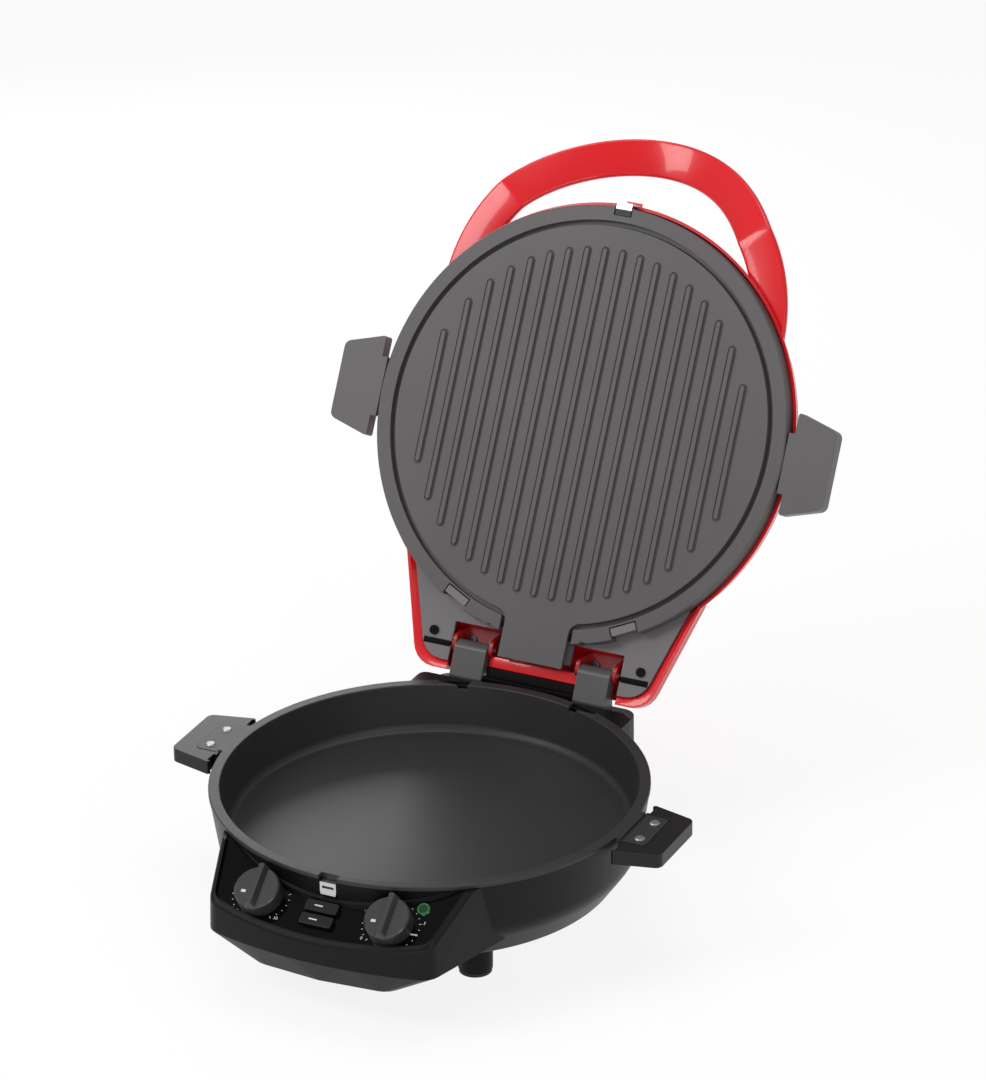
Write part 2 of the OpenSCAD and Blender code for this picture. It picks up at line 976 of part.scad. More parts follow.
module hinge_bushes() {
    color("#c9a55a")
        place()
            both_sides()
                translate([arm_in, hinge_y, hinge_z])
                    rotate([0, 90, 0])
                        difference() {
                            cylinder(r = bush_r, h = arm_w);
                            translate([0, 0, -over])
                                cylinder(r = pin_r + run, h = arm_w + 2 * over);
                        }
}

module hinge_pin() {
    translate([arm_mid - pin_len / 2, hinge_y, hinge_z])
        rotate([0, 90, 0])
            cylinder(r = pin_r, h = pin_len);
}

module hinge_pin_left() {
    color(steel)
        place()
            mirror([1, 0, 0])
                hinge_pin();
}

module hinge_pin_right() {
    color(steel)
        place()
            hinge_pin();
}

// Hollow foot with a middle boss for its screw
module foot() {
    difference() {
        translate([0, 0, pad_t])
            cylinder(r1 = foot_r - 0.4, r2 = foot_r, h = foot_h - pad_t);
        translate([0, 0, pad_t + wall])
            difference() {
                cylinder(r = foot_r - 3, h = foot_h - pad_t - 2 * wall);
                translate([0, 0, -over])
                    cylinder(r = 5.5, h = foot_h);
            }
        translate([0, 0, pad_t - over])
            cylinder(r = foot_screw_r + 0.2, h = foot_h);
        translate([0, 0, pad_t - over])
            cylinder(r = foot_screw_r + 1.9, h = foot_h - pad_t - 8 + over);
    }
}

module foot_front_left() {
    color(dark_plastic)
        place()
            translate([-foot_x, -foot_front, 0])
                foot();
}

module foot_front_right() {
    color(dark_plastic)
        place()
            translate([foot_x, -foot_front, 0])
                foot();
}

module foot_rear_left() {
    color(dark_plastic)
        place()
            translate([-foot_x, foot_rear, 0])
                foot();
}

module foot_rear_right() {
    color(dark_plastic)
        place()
            translate([foot_x, foot_rear, 0])
                foot();
}

module foot_pads() {
    color(rubber)
        place()
            foot_spots() {
                cylinder(r = foot_r - 1, h = pad_t);
                translate([0, 0, pad_t - 0.5])
                    cylinder(r = foot_screw_r + 1.8, h = 3.5);
            }
}

// Pan head screws that go up through the feet and end in a nut inside
module foot_screws() {
    color(steel)
        place()
            foot_spots() {
                translate([0, 0, foot_h - 8 - 0.05])
                    screw(8 + wall + 4.5, foot_screw_r, foot_screw_r + 1.6);
                translate([0, 0, foot_h + wall + 0.05])
                    cylinder(r = 4, h = 3, $fn = 6);
            }
}

module screw(len, r, head_r) {
    cylinder(r = r, h = len);
    mirror([0, 0, 1])
        cylinder(r = head_r, h = 1.8);
}

module cover_screws() {
    color(steel)
        place()
            cover_screw_spots(foot_h - run)
                screw(3 * wall - 0.5, screw_r - 0.15, 3);
}

module arm_screws() {
    color(steel)
        place()
            both_sides()
                for (x = [arm_in + 6, arm_in + arm_w - 6])
                    translate([x, (arm_front + arm_back) / 2, ledge_z - wall - run])
                        screw(wall + 10, 1.8, 3.4);
}

// Window in the bowl wall for the pan latch, and a pocket inside for its swing
module latch_slot() {
    w = latch_half + slide;
    translate([-w, -house_r - over, rim_z - 16.8])
        cube([2 * w, 12, 20]);
    translate([-w, -house_r + 3.4, rim_z - 25])
        cube([2 * w, 12, 20]);
}

// Ears inside the bowl wall that hold the pin of the pan latch
module latch_ears() {
    both_sides()
        translate([latch_half + slide, latch_pin_y - 3.2, latch_pin_z - 2])
            cube([2, 4, 4]);
}

// Spring steel hook that swings out from the front of the pan on a thin pin
module pan_latch() {
    w = 2 * latch_half;
    front = -house_r + 0.1;
    leg = -house_r + 5.5;
    color(steel)
        place()
            difference() {
                union() {
                    translate([-latch_half, 0, rim_z])
                        rotate([90, 0, 90])
                            linear_extrude(w)
                                polygon([[front, -15], [front, -4.8], [leg, -4.8], [leg, -8],
                                    [latch_pin_y + 0.4, latch_pin_z - rim_z],
                                    [latch_pin_y - 0.5, latch_pin_z - rim_z], [leg - 0.9, -8.2],
                                    [leg - 0.9, -6.1], [front + latch_t, -6.1], [front + latch_t, -15]]);
                    translate([-latch_half, latch_pin_y, latch_pin_z])
                        rotate([0, 90, 0])
                            cylinder(r = 1.1, h = w);
                }
                translate([-latch_half - over, latch_pin_y, latch_pin_z])
                    rotate([0, 90, 0])
                        cylinder(r = latch_pin_r + run, h = w + 2 * over);
                translate([0, front, rim_z - 9.8])
                    slab(w - 3.6, 2 * latch_t + 1, 2);
                for (side = [-1, 1])
                    translate([side * (latch_half + 0.8), front, rim_z - 16])
                        rotate([0, side * 14, 0])
                            slab(3.2, 2 * latch_t + 1, 9);
            }
}

module pan_latch_pin() {
    color(steel)
        place()
            translate([-latch_half - 2.2, latch_pin_y, latch_pin_z])
                rotate([0, 90, 0])
                    cylinder(r = latch_pin_r, h = 2 * latch_half + 4.4);
}

module deep_pan() {
    color(cast_grey)
        place()
            difference() {
                union() {
                    rotate_extrude($fn = 128)
                        polygon(soft([[0, pan_floor_z, 0], [pan_floor_r, pan_floor_z, 6], [pan_in_r, rim_z, 1],
                            [pan_rim_r, rim_z, 0.8], [pan_rim_r, rim_z - pan_rim_t, 0],
                            [pan_in_r + pan_t, rim_z - pan_rim_t, 0.8],
                            [pan_floor_r + pan_t, pan_under_z, 7], [0, pan_under_z, 0]]));
                    both_sides()
                        pan_tab();
                }
                translate([-latch_half - 1, -pan_rim_r - over, rim_z - pan_rim_t - over])
                    cube([2 * latch_half + 2, pan_rim_w - pan_t + over, 10]);
                both_sides()
                    translate([arm_in + 4, pan_rim_r - 17, rim_z - pan_rim_t - over])
                        cube([arm_w - 3, 30, 10]);
                pan_rivet_holes();
            }
}

// Cast lug that steps down from the rim into the grip
module pan_tab() {
    translate([pan_rim_r - 5, -tab_half, rim_z - pan_rim_t])
        cube([7.2, 2 * tab_half, pan_rim_t - 0.5]);
    translate([pan_rim_r + 0.6, -tab_half, pan_grip_top - pan_tab_t])
        bar_from(grip_in + 19.4 - pan_rim_r, 2 * tab_half, pan_tab_t + 0.6);
}

module bar_from(w, l, h) {
    linear_extrude(h)
        polygon(soft([[0, 0, 0], [w, 0, 3], [w, l, 3], [0, l, 0]]));
}

module pan_rivet_holes() {
    both_sides()
        for (y = [-rivet_y, rivet_y])
            translate([grip_in + 12, y, pan_grip_top - 20])
                cylinder(r = rivet_r + run, h = 30);
}

// Grip with a pocket for the tab in its upper face
module pan_grip() {
    difference() {
        translate([0, 0, pan_grip_top + 0.3 - pan_grip_t])
            linear_extrude(pan_grip_t)
                polygon(soft([[grip_in, -grip_root, 2], [pan_grip_reach, -grip_tip, 6], [pan_grip_reach, grip_tip, 6],
                    [grip_in, grip_root, 2]]));
        translate([grip_in - over, -tab_half - seat, pan_grip_top - pan_tab_t - run])
            bar_from(20 + seat + over, 2 * (tab_half + seat), 10);
        for (y = [-rivet_y, rivet_y])
            translate([grip_in + 12, y, pan_grip_top - 20])
                cylinder(r = rivet_r + run, h = 30);
        for (y = [-1, 1])
            translate([grip_in - over, y * (tab_half + 9) - 5, rim_z - 30])
                cube([over + 2.4, 10, 40]);
    }
}

module pan_grip_left() {
    color(rubber)
        place()
            mirror([1, 0, 0])
                pan_grip();
}

module pan_grip_right() {
    color(rubber)
        place()
            pan_grip();
}

module pan_rivets() {
    color(steel)
        place()
            both_sides()
                for (y = [-rivet_y, rivet_y]) {
                    translate([grip_in + 12, y, pan_grip_top - pan_grip_t + 0.3])
                        cylinder(r = rivet_r, h = pan_grip_t + 0.5);
                    translate([grip_in + 12, y, pan_grip_top + 0.6 + run])
                        cylinder(r1 = 4, r2 = 3, h = 0.9);
                }
}

// Coil spring along y, as a stack of round wires wound on a screw line
module coil(len, r, wire, turns) {
    steps = turns * 16;
    sides = 6;
    ring = function (s) let (a = 360 * turns * s / steps)
        [for (k = [0:sides - 1]) let (b = 360 * k / sides)
            [(r + wire * cos(b)) * cos(a), len * s / steps + wire * sin(b), (r + wire * cos(b)) * sin(a)]];
    pts = [for (s = [0:steps]) each ring(s)];
    sides_faces = [for (s = [0:steps - 1]) for (k = [0:sides - 1]) let (k2 = (k + 1) % sides)
        each [[s * sides + k, s * sides + k2, (s + 1) * sides + k2],
            [s * sides + k, (s + 1) * sides + k2, (s + 1) * sides + k]]];
    caps = [[for (k = [0:sides - 1]) sides - 1 - k], [for (k = [0:sides - 1]) steps * sides + k]];
    polyhedron(pts, concat(sides_faces, caps), convexity = 6);
}

// Dome of the lid, made smaller by d, with edge height z0
module dome(d, z0, up) {
    n = 16;
    translate([0, 0, z0])
        rotate_extrude($fn = 128)
            polygon(concat([[0, -up], [shell_r - d, -up]],
                [for (i = [0:n]) [(shell_r - d) * cos(90 * i / n), (dome_h - d) * sin(90 * i / n)]]));
}

function tail_plan(d, top) =
    soft([[tail_root_x - d, tail_root_y, 0], [tail_half - d, tail_back - 26, 10], [tail_half - d - 6, tail_back - d, 20 - top],
        [-tail_half + d + 6, tail_back - d, 20 - top], [-tail_half + d, tail_back - 26, 10], [-tail_root_x + d, tail_root_y, 0]]);

module tail(d, z0) {
    hull() {
        translate([0, 0, z0])
            linear_extrude(tail_h * 0.4 - d / 2)
                polygon(tail_plan(d, 0));
        translate([0, 0, z0])
            linear_extrude(tail_h - d)
                polygon(tail_plan(d + 9, 6));
    }
}

// Sloped lip inside the edge of the tail, between the shell wall and the liner
module tail_lip() {
    difference() {
        translate([0, 0, edge_z])
            linear_extrude(liner_lip)
                polygon(tail_plan(shell_t - 0.5, 0));
        hull() {
            translate([0, 0, edge_z - over])
                linear_extrude(over + 0.01)
                    polygon(tail_plan(shell_t, 0));
            translate([0, 0, edge_z + liner_t])
                linear_extrude(0.01)
                    polygon(tail_plan(tail_border - seat, 0));
        }
        translate([0, 0, edge_z])
            linear_extrude(liner_lip + over)
                polygon(tail_plan(tail_border - seat, 0));
        translate([0, 0, edge_z - over])
            cylinder(r = shell_r - shell_t, h = liner_lip + 2 * over, $fn = 128);
    }
}

// Openings in the lid tail for the two hinge arms
module arm_notches(z, h) {
    both_sides()
        translate([arm_in - bracket_t - 2 * bracket_gap - 6, arm_front + 2, z])
            cube([arm_w + 2 * bracket_t + 4 * bracket_gap + 8, 60, h]);
}

module lid_shell() {
    color(red_gloss)
        opened()
            difference() {
                union() {
                    dome(0, edge_z, 0);
                    tail(0, edge_z);
                }
                difference() {
                    dome(shell_t, edge_z, over);
                    handle_screw_spots()
                        cylinder(r = 4.2, h = 12);
                }
                difference() {
                    translate([0, 0, -0.01])
                        tail(shell_t, edge_z);
                    tail_lip();
                }
                bracket_screw_spots(tail_top - shell_t - over)
                    cylinder(r = screw_r + run, h = over + 1.5);
                arm_notches(edge_z - over, 13);
                translate([-latch_half - slide, -shell_r - 5, edge_z - over])
                    cube([2 * (latch_half + slide), 14, 11]);
                handle_screw_spots()
                    translate([0, 0, -over])
                        cylinder(r = screw_r + 0.3, h = 20);
            }
}

// Stations of the loop handle from one foot to the other
loop_n = 28;
function loop_at(i) =
    let (t = 180 * i / loop_n, a = loop_half, b = loop_front - loop_feet)
    let (p = [a * cos(t), -loop_feet - b * sin(t)], m = unit([cos(t) / a, -sin(t) / b]))
    let (c = p - m * loop_w / 2, s = max(0, 1 - pow(p[0] / 115, 2)))
    [c, m, rim_z + loop_low + loop_rise * pow(s, 1.15)];

function loop_ring(i) =
    let (s = loop_at(i), w = loop_w / 2, h = loop_t / 2, e = loop_t / 3)
    [for (q = [[w, -h + e], [w, h - e], [w - e, h], [-w + e, h], [-w, h - e], [-w, -h + e], [-w + e, -h], [w - e, -h]])
        [s[0][0] + s[1][0] * q[0], s[0][1] + s[1][1] * q[0], s[2] + q[1]]];

module loop_band() {
    k = 8;
    pts = [for (i = [0:loop_n]) each loop_ring(i)];
    sides = [for (i = [0:loop_n - 1]) for (j = [0:k - 1]) let (j2 = (j + 1) % k)
        each [[i * k + j, i * k + j2, (i + 1) * k + j2], [i * k + j, (i + 1) * k + j2, (i + 1) * k + j]]];
    caps = [[for (j = [0:k - 1]) k - 1 - j], [for (j = [0:k - 1]) loop_n * k + j]];
    polyhedron(pts, concat(sides, caps), convexity = 6);
}

module lid_handle() {
    color(red_gloss)
        opened()
            difference() {
                loop_band();
                translate([0, 0, edge_z - over])
                    dome(-seat, over, over);
                handle_screw_spots()
                    cylinder(r = screw_r, h = handle_screw_l);
            }
}

// Frame of each handle screw: local z points outward through the lid wall
module handle_screw_spots() {
    both_sides()
        rotate(-41)
            translate([shell_r - shell_t - 7, 0, edge_z + 8])
                rotate([0, 90, 0])
                    children();
}

module lid_liner() {
    color(plate_grey)
        opened() {
            liner_hooks();
            translate([-2.5, post_y, edge_z])
                cube([5, 2.2, liner_t + 8]);
            difference() {
                translate([0, 0, edge_z])
                    linear_extrude(liner_t)
                        difference() {
                            union() {
                                circle(shell_r - shell_t - seat - 1, $fn = 128);
                                polygon(tail_plan(tail_border, 0));
                            }
                            circle(dish_up_r, $fn = 128);
                            translate([-spout_w / 2 - 2, 183])
                                square([spout_w + 4, 60]);
                        }
                arm_notches(edge_z - over, liner_t + 2 * over);
                both_sides()
                    translate([arm_in, hinge_y, edge_z - over])
                        cube([tail_half - tail_border - 3 - arm_in, 3, liner_t + 2 * over]);
                translate([0, 0, edge_z - over])
                    liner_screw_spots()
                        cylinder(r = 2, h = liner_t + 2 * over);
            }
        }
}

// Hooks of the liner that reach into the two rear notches of the grill plate
module liner_hooks() {
    both_sides()
        hook_place(plate_z)
            slab(hook_w - 2, hook_l - 2, edge_z - plate_z + over);
}

module hook_place(z) {
    rotate(-25.6)
        translate([0, plate_r - 6.34, z])
            children();
}

module liner_screw_spots() {
    both_sides() {
        translate([tail_half - 17.5, hinge_y - 6.6, 0])
            children();
        for (a = [-60, -15, 30])
            rotate(a)
                translate([shell_r - 15.5, 0, 0])
                    children();
    }
}

module liner_screws() {
    color(steel)
        opened()
            liner_screw_spots()
                translate([0, 0, edge_z - run])
                    screw(liner_t + 5, 1.8, 3.6);
}

module upper_reflector() {
    color(steel)
        opened()
            difference() {
                rotate_extrude($fn = 128)
                    polygon([[0, roof_z], [dish_up_r - 22, roof_z], [dish_up_r + 1, liner_top + seat + dish_t],
                        [dish_up_r + 8, liner_top + seat + dish_t], [dish_up_r + 8, liner_top + seat],
                        [dish_up_r, liner_top + seat], [dish_up_r - 22.6, roof_z - dish_t], [0, roof_z - dish_t]]);
                rotate(90)
                    element_feet(roof_z - 3, 6, tube_r + 1);
            }
}

module upper_element() {
    color(element_steel)
        opened()
            rotate(90)
                element(high_tube_z, roof_z - high_tube_z + 6);
}

module upper_element_clips() {
    color(steel)
        opened()
            for (a = [30, 150, 210, 330])
                rotate(a)
                    mirror([0, 0, 1])
                        element_clip(-roof_z + dish_t + run, -high_tube_z);
}

module thermal_fuse() {
    color("#d9d2bd")
        opened()
            translate([20, -10, roof_z + run]) {
                cylinder(r = 8, h = 4);
                slab(26, 9, 1.2);
                for (x = [-3.5, 3.5])
                    translate([x, 0, 3])
                        slab(1, 5, 7);
            }
}

// Steel bracket in the lid tail with two cheeks that turn on the hinge pin
module hinge_bracket() {
    top = tail_top - shell_t - run;
    module cheek(x) {
        translate([x, 0, 0])
            rotate([90, 0, 90])
                linear_extrude(bracket_t)
                    polygon(soft([[hinge_y - 6, hinge_z - 6, 5], [hinge_y + 6, hinge_z - 6, 5],
                        [hinge_y + 6, top, 0], [hinge_y - 14, top, 0], [hinge_y - 14, top - 5, 2]]));
    }
    difference() {
        union() {
            cheek(arm_in - bracket_gap - bracket_t);
            cheek(arm_in + arm_w + bracket_gap);
            translate([arm_in - bracket_gap - bracket_t, hinge_y - 14, top - 2])
                cube([arm_w + 2 * (bracket_t + bracket_gap), 20, 2]);
        }
        translate([arm_in - 20, hinge_y, hinge_z])
            rotate([0, 90, 0])
                cylinder(r = pin_r + run, h = arm_w + 40);
        bracket_screw_spots(top - 3)
            cylinder(r = screw_r + 0.2, h = 5);
    }
}

module bracket_screw_spots(z) {
    both_sides()
        for (x = [arm_in + 5, arm_in + arm_w - 5])
            translate([x, hinge_y - 5, z])
                children();
}

module hinge_bracket_left() {
    color(steel)
        opened()
            mirror([1, 0, 0])
                hinge_bracket();
}

module hinge_bracket_right() {
    color(steel)
        opened()
            hinge_bracket();
}

module bracket_screws() {
    color(steel)
        opened()
            bracket_screw_spots(tail_top - shell_t - 2 - 2 * run)
                screw(3.3, screw_r, 3.2);
}

module handle_screws() {
    color(steel)
        opened()
            handle_screw_spots()
                translate([0, 0, -run])
                    screw(handle_screw_l, screw_r - run, 3.2);
}

// Hook at the front of the grill plate, with a finger tab outside and a leg for its spring
module plate_latch() {
    front = -shell_r - 0.1;
    low = plate_z + 0.2;
    color(steel)
        opened()
            difference() {
                union() {
                    translate([-latch_half, front, low])
                        cube([2 * latch_half, latch_t, edge_z + 9.3 - low]);
                    translate([-latch_half, front, low])
                        cube([2 * latch_half, -front - plate_r + 6.5, latch_t]);
                    translate([-latch_half, front - 3, edge_z + 8])
                        cube([2 * latch_half, 3 + latch_t, latch_t]);
                    translate([-latch_half, front, liner_top + 0.4])
                        cube([2 * latch_half, 19.5, latch_t]);
                    translate([-latch_half, front + 19.5 - latch_t, liner_top + 0.4])
                        cube([2 * latch_half, latch_t, 8]);
                }
                translate([-3, post_y - 1.2, edge_z])
                    cube([6, 8, 20]);
            }
}

module plate_latch_spring() {
    color(steel)
        opened()
            translate([0, post_y + 2.65, liner_top + 5.1])
                coil(5.7, 2.2, 0.4, 4);
}

// Dish with a flat rim, a fat groove and a grill surface level with the rim
module plate_body() {
    ring_in = plate_r - plate_rim_w;
    rotate_extrude($fn = 128)
        polygon([[0, plate_z], [groove_in, plate_z], [groove_in + 0.8, plate_z + groove_h], [ring_in, plate_z + groove_h],
            [ring_in, plate_z], [plate_r - 0.8, plate_z], [plate_r, plate_z + 0.8], [plate_r, plate_back_z],
            [plate_r - plate_t, plate_back_z], [plate_r - plate_t, plate_z + plate_t],
            [ring_in + plate_t, plate_z + plate_t], [ring_in + plate_t, plate_z + groove_h + plate_t],
            [groove_in - plate_t, plate_z + groove_h + plate_t], [groove_in - plate_t, plate_z + plate_t],
            [0, plate_z + plate_t]]);
}

// Raised rib with round ends, as long as the round field allows
module rib(x) {
    half = sqrt(rib_field_r * rib_field_r - x * x) - rib_w / 2;
    for (y = [-half, half])
        translate([x, y, plate_z - rib_h])
            cylinder(r1 = rib_w / 2 - 0.7, r2 = rib_w / 2, h = rib_h + 0.5, $fn = 24);
    translate([x, 0, plate_z - rib_h])
        rotate([90, 0, 0])
            translate([0, 0, -half])
                linear_extrude(2 * half)
                    polygon([[-rib_w / 2 + 0.7, 0], [rib_w / 2 - 0.7, 0], [rib_w / 2, rib_h + 0.5],
                        [-rib_w / 2, rib_h + 0.5]]);
}

// Spout that carries fat over the rim, with rounded roots
module spout() {
    w = spout_w / 2;
    f = 9;
    cy = sqrt((groove_in + f) * (groove_in + f) - (w + f) * (w + f));
    translate([-w, groove_in - 14, plate_z])
        cube([spout_w, spout_back - groove_in + 14, plate_t]);
    both_sides()
        translate([0, 0, plate_z])
            linear_extrude(plate_t)
                difference() {
                    polygon([[w - over, cy], [w, cy], [(w + f) * groove_in / (groove_in + f) + 0.3,
                        cy * groove_in / (groove_in + f) - 0.8], [w - over, groove_in - 8]]);
                    translate([w + f, cy])
                        circle(f);
                }
}

// Gap beside the spout, cut through the rim
module spout_gap() {
    both_sides()
        translate([spout_w / 2, groove_in + 1, plate_z - over])
            cube([groove_w - 0.6, 30, groove_h + over + 0.01]);
}

module grill_plate() {
    color(plate_grey)
        opened()
            difference() {
                union() {
                    difference() {
                        plate_body();
                        spout_gap();
                    }
                    for (i = [0:rib_count - 1])
                        rib((i - (rib_count - 1) / 2) * rib_pitch);
                    spout();
                    both_sides()
                        plate_tab();
                }
                translate([-latch_half - 1, -plate_r - over, plate_z - 5])
                    cube([2 * latch_half + 2, over + 7, 30]);
                both_sides()
                    hook_place(plate_z - over)
                        translate([0, 3, 0])
                            slab(hook_w, hook_l + 6, 20);
                both_sides()
                    translate([arm_in - 1.5, arm_front - 1.5, plate_z - over])
                        cube([arm_w + 3, 20, 20]);
                plate_rivet_holes();
            }
}

module plate_tab() {
    translate([plate_r - 3, -tab_half, plate_grip_low + 4])
        bar_from(plate_grip_in + 20 - plate_r + 3, 2 * tab_half, pan_tab_t);
}

module plate_rivet_holes() {
    both_sides()
        for (y = [-rivet_y, rivet_y])
            translate([plate_grip_in + 11, y, plate_z - 5])
                cylinder(r = rivet_r + run, h = 30);
}

// Grip with a flat face to the food side and a pocket for the tab behind it
module plate_grip() {
    tab_z = plate_grip_low + 4;
    difference() {
        union() {
            translate([0, 0, plate_grip_low])
                linear_extrude(grip_t)
                    polygon(soft([[plate_grip_in, -grip_root - 1, 2], [grip_reach + 1, -grip_tip, 6],
                        [grip_reach + 1, grip_tip, 6], [plate_grip_in, grip_root + 1, 2]]));
            translate([plate_r + seat, -tab_half - 1.5, plate_grip_low])
                cube([plate_grip_in - plate_r + 1, 2 * tab_half + 3, 4 - run]);
        }
        translate([plate_grip_in - over, -tab_half - seat, tab_z - run])
            bar_from(20 + seat + over, 2 * (tab_half + seat), 30);
        for (y = [-rivet_y, rivet_y])
            translate([plate_grip_in + 11, y, plate_grip_low + 2])
                cylinder(r = rivet_r + run, h = 30);
        translate([0, 0, plate_grip_low - over])
            cylinder(r = plate_r + seat, h = 40, $fn = 128);
    }
}

module plate_grip_left() {
    color(plate_grey)
        opened()
            mirror([1, 0, 0])
                plate_grip();
}

module plate_grip_right() {
    color(plate_grey)
        opened()
            plate_grip();
}

module plate_rivets() {
    color(steel)
        opened()
            both_sides()
                for (y = [-rivet_y, rivet_y])
                    translate([plate_grip_in + 11, y, plate_grip_low + 2 + run]) {
                        cylinder(r = rivet_r, h = 4.6 + pan_tab_t - 2);
                        translate([0, 0, 2.1 + pan_tab_t])
                            cylinder(r1 = 4, r2 = 3, h = 1.4);
                    }
}

base_housing();
bottom_cover();
control_panel();
lower_reflector();
lower_element();
lower_element_clips();
thermostat_body();
timer_body();
heat_switches();
indicator_lamp();
indicator_lens();
terminal_block();
cord_gland();
hinge_arm_left();
hinge_arm_right();
hinge_bushes();
hinge_pin_left();
hinge_pin_right();
foot_front_left();
foot_front_right();
foot_rear_left();
foot_rear_right();
foot_pads();
foot_screws();
cover_screws();
arm_screws();
pan_latch();
pan_latch_pin();
deep_pan();
pan_grip_left();
pan_grip_right();
pan_rivets();
timer_knob();
timer_shaft();
thermostat_knob();
thermostat_shaft();
upper_heat_button();
lower_heat_button();
lid_shell();
lid_handle();
lid_liner();
upper_reflector();
upper_element();
upper_element_clips();
thermal_fuse();
hinge_bracket_left();
hinge_bracket_right();
bracket_screws();
handle_screws();
liner_screws();
plate_latch();
plate_latch_spring();
grill_plate();
plate_grip_left();
plate_grip_right();
plate_rivets();
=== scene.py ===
import bpy
from math import atan2, cos, degrees, pi, radians, sin, sqrt
from mathutils import Matrix, Vector


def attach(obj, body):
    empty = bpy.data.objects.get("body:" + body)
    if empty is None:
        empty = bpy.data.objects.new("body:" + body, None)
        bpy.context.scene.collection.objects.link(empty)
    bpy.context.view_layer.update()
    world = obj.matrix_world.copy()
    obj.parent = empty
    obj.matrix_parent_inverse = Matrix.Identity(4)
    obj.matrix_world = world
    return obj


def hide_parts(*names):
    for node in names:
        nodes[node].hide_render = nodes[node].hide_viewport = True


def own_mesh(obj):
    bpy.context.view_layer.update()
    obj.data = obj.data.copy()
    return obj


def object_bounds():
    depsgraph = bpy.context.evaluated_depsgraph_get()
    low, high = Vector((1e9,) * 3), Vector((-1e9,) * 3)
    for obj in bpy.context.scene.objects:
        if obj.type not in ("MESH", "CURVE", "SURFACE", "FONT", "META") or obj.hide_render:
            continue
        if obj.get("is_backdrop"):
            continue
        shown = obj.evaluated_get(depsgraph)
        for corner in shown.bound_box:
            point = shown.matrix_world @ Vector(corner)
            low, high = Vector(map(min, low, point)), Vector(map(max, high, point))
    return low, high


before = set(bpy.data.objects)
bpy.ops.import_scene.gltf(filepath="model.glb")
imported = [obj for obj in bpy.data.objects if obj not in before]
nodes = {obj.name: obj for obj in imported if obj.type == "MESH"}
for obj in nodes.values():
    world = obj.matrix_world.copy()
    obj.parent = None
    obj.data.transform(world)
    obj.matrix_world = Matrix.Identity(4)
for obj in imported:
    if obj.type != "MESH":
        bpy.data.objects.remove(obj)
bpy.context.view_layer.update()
mm = 0.001
bpy.context.scene.view_settings.view_transform = "Standard"

# Camera
# The photograph looks down on the open cooker from its front right, through a long lens.
# Its middle is the centre of the pan rim, and the rest are turns and offsets measured from there.
rim_middle = Vector((0, -0.11959, 0.105))
azimuth, elevation, roll = radians(26.5), radians(25.7), radians(-0.86)
camera_distance = 4.471
aim_right, aim_up = 0.0473, 0.1789
photo_height_px, focal_px, sensor = 1080, 6000, 36

back = Vector((sin(azimuth) * cos(elevation), -cos(azimuth) * cos(elevation), sin(elevation)))
level = Vector((cos(azimuth), sin(azimuth), 0))
rise = back.cross(level)
camera_right = level * cos(roll) + rise * sin(roll)
camera_up = rise * cos(roll) - level * sin(roll)
bpy.ops.object.camera_add()
camera = bpy.context.object
camera.matrix_world = Matrix((camera_right, camera_up, back)).transposed().to_4x4()
aim = rim_middle + camera_right * aim_right + camera_up * aim_up
camera.location = aim + back * camera_distance
camera.data.sensor_width = sensor
camera.data.lens = focal_px / photo_height_px * sensor
camera.data.clip_end = 50
bpy.context.scene.camera = camera


# Floor and studio
# A white sweep with soft boxes on both sides and above, so that gloss shows broad clean streaks.
# The camera and the reflections see the floor nearly white, and it keeps part of the shadow.
def paint(code):
    """A colour code as seen on a screen, as the linear values that a shader takes."""
    parts = [int(code[i:i + 2], 16) / 255 for i in (1, 3, 5)]
    return [p / 12.92 if p <= 0.04045 else ((p + 0.055) / 1.055) ** 2.4 for p in parts] + [1]


def new_material(name):
    material = bpy.data.materials.new(name)
    material.use_nodes = True
    return material, material.node_tree.nodes, material.node_tree.links


floor_side, floor_glow, floor_grey = 30, 0.85, 0.93
bpy.ops.mesh.primitive_plane_add(size=floor_side, location=(0, 0, 0))
floor = bpy.context.object
floor.name = "studio_floor"
floor_white, n, l = new_material("studio_floor")
n.clear()
out = n.new("ShaderNodeOutputMaterial")
mix = n.new("ShaderNodeMixShader")
path = n.new("ShaderNodeLightPath")
seen = n.new("ShaderNodeMath")
seen.operation = "MAXIMUM"
share = n.new("ShaderNodeMath")
share.operation = "MULTIPLY"
share.inputs[1].default_value = floor_glow
glow = n.new("ShaderNodeEmission")
matt = n.new("ShaderNodeBsdfDiffuse")
matt.inputs["Color"].default_value = (floor_grey, floor_grey, floor_grey, 1)
l.new(path.outputs["Is Camera Ray"], seen.inputs[0])
l.new(path.outputs["Is Glossy Ray"], seen.inputs[1])
l.new(seen.outputs[0], share.inputs[0])
l.new(share.outputs[0], mix.inputs[0])
l.new(matt.outputs[0], mix.inputs[1])
l.new(glow.outputs[0], mix.inputs[2])
l.new(mix.outputs[0], out.inputs[0])
floor.data.materials.append(floor_white)
floor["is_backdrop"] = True

sky_light, sky_seen = 0.42, 1.0
world = bpy.data.worlds.new("studio")
bpy.context.scene.world = world
world.use_nodes = True
wn, wl = world.node_tree.nodes, world.node_tree.links
wn.clear()
world_out = wn.new("ShaderNodeOutputWorld")
sky = wn.new("ShaderNodeBackground")
sky.inputs["Color"].default_value = (1, 1, 1, 1)
world_path = wn.new("ShaderNodeLightPath")
strength = wn.new("ShaderNodeMapRange")
strength.inputs["To Min"].default_value = sky_light
strength.inputs["To Max"].default_value = sky_seen
wl.new(world_path.outputs["Is Camera Ray"], strength.inputs["Value"])
wl.new(strength.outputs[0], sky.inputs["Strength"])
wl.new(sky.outputs[0], world_out.inputs[0])


